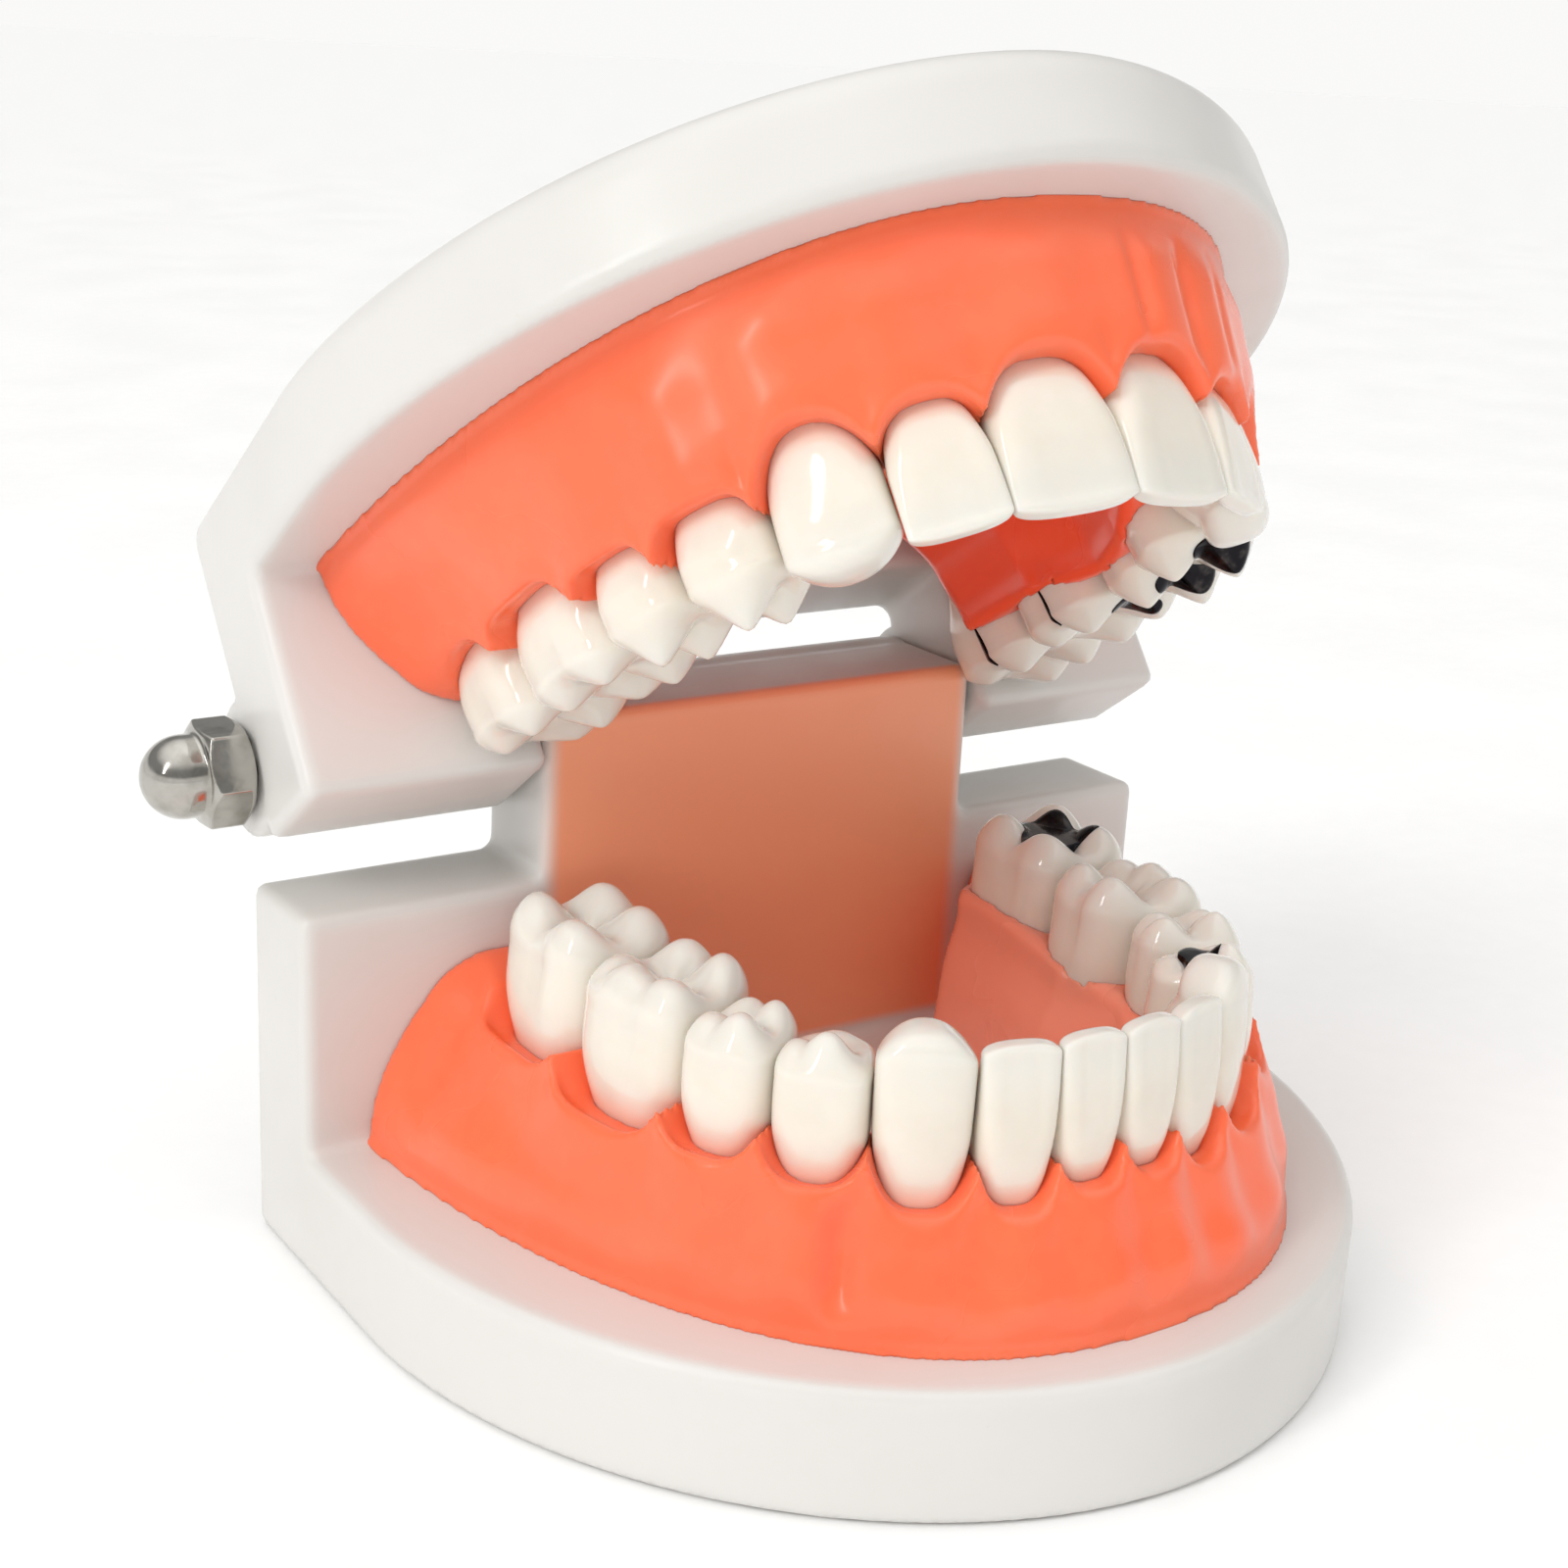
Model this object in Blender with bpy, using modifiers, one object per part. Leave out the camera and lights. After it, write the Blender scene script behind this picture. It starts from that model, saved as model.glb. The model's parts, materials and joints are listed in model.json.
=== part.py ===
"""Adult dental typodont: two white jaw bases hinged on one bolt, with gums and separate teeth.

Metres, +Z up, the mouth opens towards -Y and the patient's right is -X. The upper jaw is laid out
closed, around the hinge axis, and hangs on an empty that holds it open.
"""

import math

import bmesh
import bpy
import numpy as np
from mathutils import Matrix

MM = 0.001
GAP = 0.3 * MM

# The white bases. REAR_Y is the rear face of both walls.
REAR_Y = 24.8 * MM
BASE_WIDTH = 75.0 * MM
BASE_SIDE_LENGTH = 19.2 * MM
BASE_FRONT_LENGTH = 41.0 * MM
BASE_FRONT_EXPONENT = 1.92
WALL_THICKNESS = 9.0 * MM
LOWER_PLATE_TOP = 9.1 * MM
LOWER_WALL_TOP = 26.7 * MM
UPPER_WALL_BOTTOM = 28.9 * MM
UPPER_PLATE_BOTTOM = 45.3 * MM
UPPER_TOP = 53.9 * MM
LOWER_EDGE_ROUNDING = 0.8 * MM
UPPER_EDGE_ROUNDING = 2.6 * MM

# The hinge.
HINGE_Y = REAR_Y + 0.9 * MM
HINGE_Z = 34.8 * MM
OPEN_ANGLE = math.radians(36.9)
TAB_HALF_WIDTH = 19.0 * MM
TAB_BARREL_RADIUS = 4.1 * MM
NOTCH_HALF_WIDTH = TAB_HALF_WIDTH + 0.4 * MM
NOTCH_TOP = 41.3 * MM
BOSS_RADIUS = 4.9 * MM
BOLT_RADIUS = 2.0 * MM
RUNNING_CLEARANCE = 0.06 * MM
NUT_ACROSS_FLATS = 6.8 * MM
NUT_HEX_HEIGHT = 3.3 * MM
NUT_DOME_RADIUS = 2.95 * MM
NUT_DOME_CENTRE = 4.2 * MM
NUT_BORE_DEPTH = 5.2 * MM
NUT_TURN = math.radians(12.0)
BOLT_PAST_WALL = 4.9 * MM

# The gums' outline on the plates, and how they meet the walls.
GUM_HALF_WIDTH = 32.9 * MM
GUM_LENGTH = 54.4 * MM
GUM_REAR_Y = REAR_Y - 1.4 * MM
GUM_EXPONENT = 2.23
WALL_BLEND = 5.0 * MM
STATIONS_PER_SIDE = 22

# Each row of teeth, as (half width, depth, exponent, shoulder y) of the line along its outer faces.
LOWER_ARCH = (25.4 * MM, 27.1 * MM, 2.1, REAR_Y - 24.5 * MM)
UPPER_ARCH = (26.4 * MM, 33.6 * MM, 2.1, REAR_Y - 20.7 * MM)
FRONT_Y = REAR_Y - 50.0 * MM

TOOTH_NAMES = (
    "central_incisor",
    "lateral_incisor",
    "canine",
    "first_premolar",
    "second_premolar",
    "first_molar",
    "second_molar",
)
TOOTH_KINDS = ("incisor", "incisor", "canine", "premolar", "premolar", "molar", "molar")
LOWER_WIDTHS = (5.0, 5.5, 7.0, 7.0, 7.0, 11.0, 10.5)
LOWER_DEPTHS = (6.0, 6.5, 7.5, 7.5, 8.0, 10.3, 10.0)
UPPER_WIDTHS = (9.0, 6.9, 8.0, 7.5, 7.4, 10.6, 9.5)
UPPER_DEPTHS = (7.0, 6.3, 8.0, 8.8, 8.8, 10.8, 10.5)

# Height of the gum's edge and of the biting edge at each tooth, off the row's own planes.
LOWER_MARGIN = 17.6
LOWER_BITE = 27.7
LOWER_MARGIN_STEPS = (0.5, -0.5, -0.6, 0.3, 0.5, -0.4, 0.1)
LOWER_BITE_STEPS = (0.2, 0.0, 0.8, -0.4, -0.5, 0.0, 0.3)
LOWER_SLOPE = 0.029
UPPER_MARGIN = 34.5
UPPER_BITE = 26.2
UPPER_MARGIN_STEPS = (1.5, 0.2, 1.2, -0.9, -0.8, 0.5, 0.9)
UPPER_BITE_STEPS = (0.2, 0.1, -0.6, 0.2, 0.4, 1.6, 2.0)
UPPER_SLOPE = 0.015
ROOT_CLEARANCE = 2.2 * MM

# Crown and root sections: height (0 at the gum's edge, 1 at the biting edge), then the width, and
# the outer and inner faces, as shares of the tooth's width and depth.
CROWNS = {
    "incisor": (
        (0.0, 0.74, 0.06, 0.92),
        (0.3, 0.88, 0.00, 0.92),
        (0.65, 0.97, 0.02, 0.50),
        (0.92, 1.0, 0.08, 0.32),
        (1.0, 0.93, 0.13, 0.26),
    ),
    "canine": (
        (0.0, 0.76, 0.05, 0.95),
        (0.3, 0.91, 0.00, 0.97),
        (0.62, 1.0, 0.02, 0.72),
        (0.86, 0.74, 0.12, 0.48),
        (1.0, 0.24, 0.22, 0.36),
    ),
    "premolar": (
        (0.0, 0.78, 0.05, 0.95),
        (0.35, 0.95, 0.00, 1.00),
        (0.7, 1.0, 0.04, 0.97),
        (0.92, 0.80, 0.15, 0.86),
    ),
    "molar": (
        (0.0, 0.85, 0.04, 0.96),
        (0.35, 0.97, 0.00, 1.00),
        (0.7, 1.0, 0.04, 0.97),
        (0.92, 0.88, 0.13, 0.88),
    ),
}
SQUARENESS = {"incisor": 2.2, "canine": 2.2, "premolar": 2.5, "molar": 3.0}
CUSP_RISE = {"incisor": 0.0, "canine": 0.0, "premolar": 0.08, "molar": 0.07}
FOSSA_HEIGHT = 0.74
RING_POINTS = 12

# Metal fillings, all on the patient's left: length and width, in mm.
FILLINGS = {
    "upper_left_first_premolar": (2.6, 4.6),
    "upper_left_second_premolar": (2.4, 4.8),
    "upper_left_first_molar": (5.2, 3.2),
    "lower_left_first_premolar": (2.8, 3.2),
    "lower_left_second_molar": (5.4, 4.4),
}
FILLING_DEPTH = 1.6 * MM
FILLING_GAP = 0.1 * MM


def clear_scene():
    for item in list(bpy.data.objects):
        bpy.data.objects.remove(item, do_unlink=True)


def make_collection(name, parent=None):
    group = bpy.data.collections.new(name)
    (parent or bpy.context.scene.collection).children.link(group)
    return group


def make_material(name, color, roughness, metallic=0.0):
    made = bpy.data.materials.new(name)
    made.use_nodes = True
    shader = made.node_tree.nodes["Principled BSDF"]
    shader.inputs["Base Color"].default_value = (*color, 1.0)
    shader.inputs["Roughness"].default_value = roughness
    shader.inputs["Metallic"].default_value = metallic
    return made


def add_object(name, mesh, group, material=None, parent=None):
    item = bpy.data.objects.new(name, mesh)
    group.objects.link(item)
    if material:
        mesh.materials.append(material)
    item.parent = parent
    return item


def as_helper(item):
    item.hide_render = True
    item.display_type = "WIRE"
    return item


def finish_mesh(name, shape, smooth_angle=40.0):
    bmesh.ops.recalc_face_normals(shape, faces=shape.faces)
    mesh = bpy.data.meshes.new(name)
    shape.to_mesh(mesh)
    shape.free()
    mesh.shade_smooth()
    mesh.set_sharp_from_angle(angle=math.radians(smooth_angle))
    return mesh


def box_mesh(name, low, high):
    shape = bmesh.new()
    bmesh.ops.create_cube(shape, size=1.0)
    for vert in shape.verts:
        for axis in range(3):
            vert.co[axis] = low[axis] if vert.co[axis] < 0 else high[axis]
    return finish_mesh(name, shape)


def rod_mesh(name, radius, low_x, high_x, y, z, segments=28):
    """A cylinder along X."""
    shape = bmesh.new()
    bmesh.ops.create_cone(
        shape, cap_ends=True, segments=segments, radius1=radius, radius2=radius, depth=1.0
    )
    for vert in shape.verts:
        across, up, along = vert.co
        vert.co = (low_x if along < 0 else high_x, y + across, z + up)
    return finish_mesh(name, shape)


def turned_object(name, profile, group, steps=24):
    """A profile of (radius, height) points, top to bottom, turned about Z."""
    mesh = bpy.data.meshes.new(name)
    edges = [(i, i + 1) for i in range(len(profile) - 1)]
    mesh.from_pydata([(radius, 0.0, height) for radius, height in profile], edges, [])
    item = add_object(name, mesh, group)
    screw = item.modifiers.new("turn", "SCREW")
    screw.steps = screw.render_steps = steps
    screw.use_merge_vertices = True
    screw.merge_threshold = 0.00001
    screw.use_normal_calculate = True
    return item


def boolean(item, operation, other):
    cut = item.modifiers.new(operation.lower(), "BOOLEAN")
    cut.operation = operation
    cut.solver = "EXACT"
    if isinstance(other, bpy.types.Collection):
        cut.operand_type = "COLLECTION"
        cut.collection = other
    else:
        cut.object = other


def superellipse(half_width, depth, exponent, shoulder_y, count):
    """Points of the right-hand front quarter, from the side to the middle of the front."""
    points = []
    for i in range(count + 1):
        angle = math.pi / 2 * i / count
        x = -half_width * math.cos(angle) ** (2 / exponent)
        y = shoulder_y - depth * math.sin(angle) ** (2 / exponent)
        points.append((x, y))
    return points


def base_outline():
    front = superellipse(
        BASE_WIDTH / 2, BASE_FRONT_LENGTH, BASE_FRONT_EXPONENT, REAR_Y - BASE_SIDE_LENGTH, 14
    )
    right = [(-BASE_WIDTH / 2, REAR_Y)] + front
    left = [(-x, y) for x, y in reversed(right[:-1])]
    return right + left


def base_block(name, low_z, high_z, rounded_z, rounding, group):
    """The D-shaped block that a base is cut from, with its outer edge rounded at one end."""
    shape = bmesh.new()
    verts = [shape.verts.new((x, y, low_z)) for x, y in base_outline()]
    face = shape.faces.new(verts)
    raised = bmesh.ops.extrude_face_region(shape, geom=[face])
    moved = [part for part in raised["geom"] if isinstance(part, bmesh.types.BMVert)]
    bmesh.ops.translate(shape, verts=moved, vec=(0.0, 0.0, high_z - low_z))
    rim = [
        edge
        for edge in shape.edges
        if all(abs(vert.co.z - rounded_z) < GAP for vert in edge.verts)
    ]
    bmesh.ops.bevel(
        shape, geom=rim, offset=rounding, segments=3, profile=0.5, affect="EDGES"
    )
    return add_object(name, finish_mesh(name, shape), group)


class Row:
    """One row of teeth: the line along its outer faces, and its heights."""

    def __init__(self, arch, widths, depths, margin, bite, slope, plate_z, prefix):
        self.widths = [width * MM for width in widths]
        self.depths = [depth * MM for depth in depths]
        self.margin, self.margin_steps = margin
        self.bite, self.bite_steps = bite
        self.slope = slope
        self.plate_z = plate_z
        self.prefix = prefix
        self.up = 1.0 if self.bite > self.margin else -1.0
        half_width, depth, exponent, shoulder_y = arch
        front = superellipse(half_width, depth, exponent, shoulder_y, 400)[::-1]
        self.line = np.array(front + [(-half_width, REAR_Y)])
        steps = np.hypot(*np.diff(self.line, axis=0).T)
        self.reach = np.concatenate([[0.0], np.cumsum(steps)])
        self.starts = np.concatenate([[0.0], np.cumsum(self.widths)])
        self.wall_reach = self.reach[-1] - WALL_THICKNESS - GAP

    def at(self, distance):
        """The point at this distance from the middle, and the direction inwards from it."""
        ahead = 0.2 * MM
        near, far = (
            np.array([np.interp(d, self.reach, self.line[:, k]) for k in (0, 1)])
            for d in (max(distance - ahead, 0.0), distance + ahead)
        )
        point = np.array([np.interp(distance, self.reach, self.line[:, k]) for k in (0, 1)])
        along = (far - near) / np.linalg.norm(far - near)
        if distance < ahead:
            along = np.array([-1.0, 0.0])
        return point, np.array([-along[1], along[0]]) * -1.0

    def plane(self, level, y):
        return level * MM + self.slope * (y - FRONT_Y)

    def depth_at(self, distance):
        centres = (self.starts[:-1] + self.starts[1:]) / 2
        return float(np.interp(distance, centres, self.depths))

    def tooth_heights(self, index):
        middle = (self.starts[index] + self.starts[index + 1]) / 2
        y = self.at(middle)[0][1]
        margin = self.plane(self.margin + self.margin_steps[index], y)
        bite = self.plane(self.bite + self.bite_steps[index], y)
        return margin, bite

    def tooth_point(self, index, across, inwards):
        """The place at across (-1 at the front end, 1 at the rear) and inwards of the line."""
        first, first_in = self.at(self.starts[index])
        last, last_in = self.at(self.starts[index + 1])
        share = (1.0 + across) / 2
        return (first + first_in * inwards) * (1.0 - share) + (last + last_in * inwards) * share


def ring(row, index, width, outer, inner, z, side, grow, squareness, rise=0.0):
    """One closed section of a tooth. rise lifts the cusps, at the corners, by that much."""
    length = row.widths[index]
    half = width - (GAP - 2 * grow) / length
    middle = (outer + inner) / 2
    reach = (inner - outer) / 2 + grow
    points = []
    for i in range(RING_POINTS):
        angle = math.tau * i / RING_POINTS
        cosine, sine = math.cos(angle), math.sin(angle)
        across = half * math.copysign(abs(cosine) ** (2 / squareness), cosine)
        inwards = middle - reach * math.copysign(abs(sine) ** (2 / squareness), sine)
        x, y = row.tooth_point(index, across, inwards)
        lift = -rise * math.cos(4 * angle)
        points.append((side * x, y, z + lift))
    return points


def tooth_mesh(name, row, index, side, grow=0.0):
    """A crown on its root. side is 1 on the patient's right and -1 on the left."""
    kind = TOOTH_KINDS[index]
    depth = row.depths[index]
    squareness = SQUARENESS[kind]
    margin, bite = row.tooth_heights(index)
    height = bite - margin
    neck = CROWNS[kind][0]
    root_z = row.plate_z + row.up * (ROOT_CLEARANCE - grow)
    sections = [
        (root_z, neck[1] * 0.62, 0.25 * depth, 0.75 * depth, 0.0),
        (margin - 0.25 * height, neck[1] * 0.94, (neck[2] + 0.03) * depth, (neck[3] - 0.04) * depth, 0.0),
    ]
    for level, width, outer, inner in CROWNS[kind]:
        rise = CUSP_RISE[kind] * height if level > 0.9 else 0.0
        sections.append((margin + level * height, width, outer * depth, inner * depth, rise))
    rings = [
        ring(row, index, width, outer, inner, z, side, grow, squareness, rise)
        for z, width, outer, inner, rise in sections
    ]
    last = CROWNS[kind][-1]
    middle = (last[2] + last[3]) / 2 * depth
    if CUSP_RISE[kind]:
        fossa_z = margin + FOSSA_HEIGHT * height
        basin = ring(
            row, index, last[1] * 0.45, middle - 0.17 * depth, middle + 0.17 * depth,
            fossa_z, side, 0.0, squareness,
        )
        rings.append(basin)
        top_z = fossa_z - 0.03 * height
    else:
        top_z = bite
    root_x, root_y = row.tooth_point(index, 0.0, 0.5 * depth)
    top_x, top_y = row.tooth_point(index, 0.0, middle)
    return loft(name, rings, (side * root_x, root_y, root_z), (side * top_x, top_y, top_z))


def loft(name, rings, first_point=None, last_point=None):
    """Skin closed sections of equal point counts, and close the ends with fans or flat caps."""
    shape = bmesh.new()
    rows = [[shape.verts.new(point) for point in points] for points in rings]
    count = len(rows[0])
    for lower, upper in zip(rows, rows[1:]):
        for i in range(count):
            j = (i + 1) % count
            shape.faces.new((lower[i], lower[j], upper[j], upper[i]))
    for verts, point in ((rows[0], first_point), (rows[-1], last_point)):
        if point is None:
            shape.faces.new(verts)
            continue
        centre = shape.verts.new(point)
        for i in range(count):
            shape.faces.new((verts[i], verts[(i + 1) % count], centre))
    return finish_mesh(name, shape)


def gum_outline_offset(point, inwards):
    """How far outside the tooth line the gum's outline on the plate lies."""
    low, high = 0.0, 12.0 * MM
    for _ in range(30):
        reach = (low + high) / 2
        x, y = point - inwards * reach
        inside = (abs(x) / GUM_HALF_WIDTH) ** GUM_EXPONENT
        inside += (abs(y - GUM_REAR_Y) / GUM_LENGTH) ** GUM_EXPONENT
        if inside < 1.0:
            low = reach
        else:
            high = reach
    return low


def gum_section(row, distance, crest_at_wall, lip_at_wall):
    """The gum's section at one station, from its outer foot over the crest to its inner foot."""
    point, inwards = row.at(distance)
    foot_z = row.plate_z + row.up * GAP
    centres = (row.starts[:-1] + row.starts[1:]) / 2
    step = float(np.interp(distance, centres, row.margin_steps))
    margin = row.plane(row.margin + step, point[1])
    crest = margin + row.up * 0.9 * MM
    foot = gum_outline_offset(point, inwards)
    depth = row.depth_at(distance)
    profile = [
        (-foot, 0.0),
        (-foot + 0.2 * MM, 0.25),
        (-min(foot * 0.8, 3.4 * MM), 0.58),
        (-1.9 * MM, 0.83),
        (-1.0 * MM, 0.97),
        (0.4 * MM, 1.0),
        (depth - 0.2 * MM, 1.0),
        (depth + 1.0 * MM, 0.95),
        (depth + 1.7 * MM, 0.74),
        (depth + 2.1 * MM, 0.4),
        (depth + 2.5 * MM, 0.0),
    ]
    at_wall = [
        (-foot, 0.0),
        (-foot + 0.3 * MM, 0.22),
        (-foot + 1.6 * MM, 0.48),
        (-foot + 4.0 * MM, 0.74),
        (-foot + 6.6 * MM, 0.93),
        (-foot + 8.6 * MM, 1.0),
        (lip_at_wall - 2.0 * MM, 1.0),
        (lip_at_wall - 0.9 * MM, 0.93),
        (lip_at_wall - 0.2 * MM, 0.7),
        (lip_at_wall + 0.5 * MM, 0.4),
        (lip_at_wall + 1.2 * MM, 0.0),
    ]
    blend = max(0.0, 1.0 - (row.wall_reach - distance) / WALL_BLEND)
    blend = blend * blend * (3.0 - 2.0 * blend)
    crest += (crest_at_wall - crest) * blend
    points = []
    for (free_v, free_h), (wall_v, wall_h) in zip(profile, at_wall):
        v = free_v + (wall_v - free_v) * blend
        h = free_h + (wall_h - free_h) * blend
        x, y = point + inwards * v
        points.append((x, y, foot_z + (crest - foot_z) * h))
    return points


def gum_mesh(name, row, crest_at_wall, lip_at_wall):
    distances = [row.wall_reach * i / STATIONS_PER_SIDE for i in range(STATIONS_PER_SIDE + 1)]
    right = [gum_section(row, distance, crest_at_wall, lip_at_wall) for distance in distances[::-1]]
    left = [[(-x, y, z) for x, y, z in section] for section in right[-2::-1]]
    return loft(name, right + left)


def move_mesh(mesh, x, y, z):
    for vert in mesh.vertices:
        vert.co.x += x
        vert.co.y += y
        vert.co.z += z
    return mesh


def make_row_of_teeth(row, parts, cutters, material, metal, parent, origin):
    """The teeth of one jaw, their fillings, and the collection of cutters for their sockets."""
    sockets = make_collection(row.prefix + "_sockets", cutters)
    for side, hand in ((1.0, "right"), (-1.0, "left")):
        for index, tooth in enumerate(TOOTH_NAMES):
            name = f"{row.prefix}_{hand}_{tooth}"
            crown = move_mesh(tooth_mesh(name, row, index, side), *origin)
            item = add_object(name, crown, parts, material, parent)
            room = move_mesh(tooth_mesh(name + "_socket", row, index, side, GAP), *origin)
            as_helper(add_object(name + "_socket", room, sockets, None, parent))
            if name in FILLINGS:
                make_filling(name, item, row, index, side, parts, cutters, metal, parent, origin)
    return sockets


def filling_mesh(name, row, index, side, size, grow, top_z, bottom_z):
    """A straight-sided inlay with an oval outline, along the tooth's own width and depth."""
    length, width = (value * MM / 2 + grow for value in size)
    depth = row.depths[index]
    rings = []
    for z in (bottom_z, top_z):
        points = []
        for i in range(RING_POINTS):
            angle = math.tau * i / RING_POINTS
            across = length * math.cos(angle) / (row.widths[index] / 2)
            x, y = row.tooth_point(index, across, depth / 2 + width * math.sin(angle))
            points.append((side * x, y, z))
        rings.append(points)
    return loft(name, rings)


def make_filling(tooth_name, tooth, row, index, side, parts, cutters, metal, parent, origin):
    size = FILLINGS[tooth_name]
    name = tooth_name + "_filling"
    margin, bite = row.tooth_heights(index)
    top_z = margin + (FOSSA_HEIGHT + 0.07) * (bite - margin)
    bottom_z = top_z - row.up * FILLING_DEPTH
    inlay = filling_mesh(name, row, index, side, size, 0.0, top_z, bottom_z)
    add_object(name, move_mesh(inlay, *origin), parts, metal, parent)
    floor_z = bottom_z - row.up * FILLING_GAP
    open_z = bite + row.up * 2.0 * MM
    pocket = filling_mesh(name + "_pocket", row, index, side, size, FILLING_GAP, open_z, floor_z)
    cutter = add_object(name + "_pocket", move_mesh(pocket, *origin), cutters, None, parent)
    boolean(tooth, "DIFFERENCE", as_helper(cutter))


def make_lower_base(parts, cutters, material):
    base = base_block("lower_base", 0.0, LOWER_WALL_TOP, 0.0, LOWER_EDGE_ROUNDING, parts)
    base.data.materials.append(material)
    wall_front = REAR_Y - WALL_THICKNESS
    wide = BASE_WIDTH
    mouth = box_mesh(
        "lower_mouth",
        (-wide, wall_front - 2 * wide, LOWER_PLATE_TOP),
        (wide, wall_front, LOWER_WALL_TOP + wide),
    )
    boolean(base, "DIFFERENCE", as_helper(add_object("lower_mouth", mouth, cutters)))
    tab_top = HINGE_Z + TAB_BARREL_RADIUS
    tab = box_mesh(
        "tab",
        (-TAB_HALF_WIDTH, wall_front, LOWER_PLATE_TOP),
        (TAB_HALF_WIDTH, REAR_Y, tab_top),
    )
    boolean(base, "UNION", as_helper(add_object("tab", tab, cutters)))
    barrel = rod_mesh(
        "tab_barrel", TAB_BARREL_RADIUS, -TAB_HALF_WIDTH, TAB_HALF_WIDTH, HINGE_Y, HINGE_Z
    )
    boolean(base, "UNION", as_helper(add_object("tab_barrel", barrel, cutters)))
    bore = rod_mesh("tab_bore", BOLT_RADIUS + RUNNING_CLEARANCE, -wide, wide, HINGE_Y, HINGE_Z)
    boolean(base, "DIFFERENCE", as_helper(add_object("tab_bore", bore, cutters)))
    return base


def make_upper_base(parts, cutters, material, parent, origin):
    base = base_block(
        "upper_base", UPPER_WALL_BOTTOM, UPPER_TOP, UPPER_TOP, UPPER_EDGE_ROUNDING, parts
    )
    move_mesh(base.data, *origin)
    base.data.materials.append(material)
    base.parent = parent
    wall_front = REAR_Y - WALL_THICKNESS
    wide = BASE_WIDTH
    mouth = box_mesh(
        "upper_mouth",
        (-wide, wall_front - 2 * wide, -wide),
        (wide, wall_front, UPPER_PLATE_BOTTOM),
    )
    notch = box_mesh(
        "notch", (-NOTCH_HALF_WIDTH, wall_front - wide, -wide), (NOTCH_HALF_WIDTH, wide, NOTCH_TOP)
    )
    for name, mesh in (("upper_mouth", mouth), ("notch", notch)):
        cutter = add_object(name, move_mesh(mesh, *origin), cutters, None, parent)
        boolean(base, "DIFFERENCE", as_helper(cutter))
    for side, hand in ((-1.0, "right"), (1.0, "left")):
        ends = sorted((side * NOTCH_HALF_WIDTH, side * BASE_WIDTH / 2))
        boss = rod_mesh(f"boss_{hand}", BOSS_RADIUS, *ends, 0.0, 0.0)
        helper = as_helper(add_object(f"boss_{hand}", boss, cutters, None, parent))
        boolean(base, "UNION", helper)
    bore = rod_mesh("boss_bore", BOLT_RADIUS + RUNNING_CLEARANCE, -wide, wide, 0.0, 0.0)
    boolean(base, "DIFFERENCE", as_helper(add_object("boss_bore", bore, cutters, None, parent)))
    return base


def make_cap_nut(side, hand, parts, cutters, material, parent):
    """A domed cap nut, modelled up Z from its seat and laid over onto the hinge axis."""
    name = f"cap_nut_{hand}"
    corner = NUT_ACROSS_FLATS / math.sqrt(3.0)
    shape = bmesh.new()
    bmesh.ops.create_cone(
        shape, cap_ends=True, segments=6, radius1=corner, radius2=corner, depth=NUT_HEX_HEIGHT
    )
    bmesh.ops.translate(shape, verts=shape.verts, vec=(0.0, 0.0, NUT_HEX_HEIGHT / 2))
    bmesh.ops.rotate(shape, verts=shape.verts, matrix=Matrix.Rotation(NUT_TURN, 3, "Z"))
    nut = add_object(name, finish_mesh(name, shape, 25.0), parts, material, parent)
    chamfer = 0.5 * MM
    flat = NUT_ACROSS_FLATS / 2
    envelope = [
        (0.0, NUT_HEX_HEIGHT + GAP),
        (flat - chamfer, NUT_HEX_HEIGHT + GAP),
        (corner, NUT_HEX_HEIGHT - chamfer),
        (corner, chamfer * 0.6),
        (flat, -GAP),
        (0.0, -GAP),
    ]
    trim = as_helper(turned_object(name + "_chamfer", envelope, cutters))
    dome = [(0.0, NUT_DOME_CENTRE + NUT_DOME_RADIUS)]
    for i in range(1, 7):
        angle = math.pi / 2 * i / 6
        dome.append(
            (
                NUT_DOME_RADIUS * math.sin(angle),
                NUT_DOME_CENTRE + NUT_DOME_RADIUS * math.cos(angle),
            )
        )
    dome += [(NUT_DOME_RADIUS, NUT_HEX_HEIGHT / 2), (0.0, NUT_HEX_HEIGHT / 2)]
    cap = as_helper(turned_object(name + "_dome", dome, cutters))
    thread = BOLT_RADIUS + RUNNING_CLEARANCE
    bore = rod_mesh(name + "_bore", thread, -NUT_BORE_DEPTH, NUT_BORE_DEPTH, 0.0, 0.0)
    drill = as_helper(add_object(name + "_bore", bore, cutters))
    drill.parent = parent
    for item in (nut, trim, cap):
        item.parent = parent
        item.location.x = side * (BASE_WIDTH / 2 + GAP)
        item.rotation_euler = (0.0, side * math.pi / 2, 0.0)
    drill.location.x = side * (BASE_WIDTH / 2 + GAP)
    boolean(nut, "INTERSECT", trim)
    boolean(nut, "UNION", cap)
    boolean(nut, "DIFFERENCE", drill)
    return nut


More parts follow.
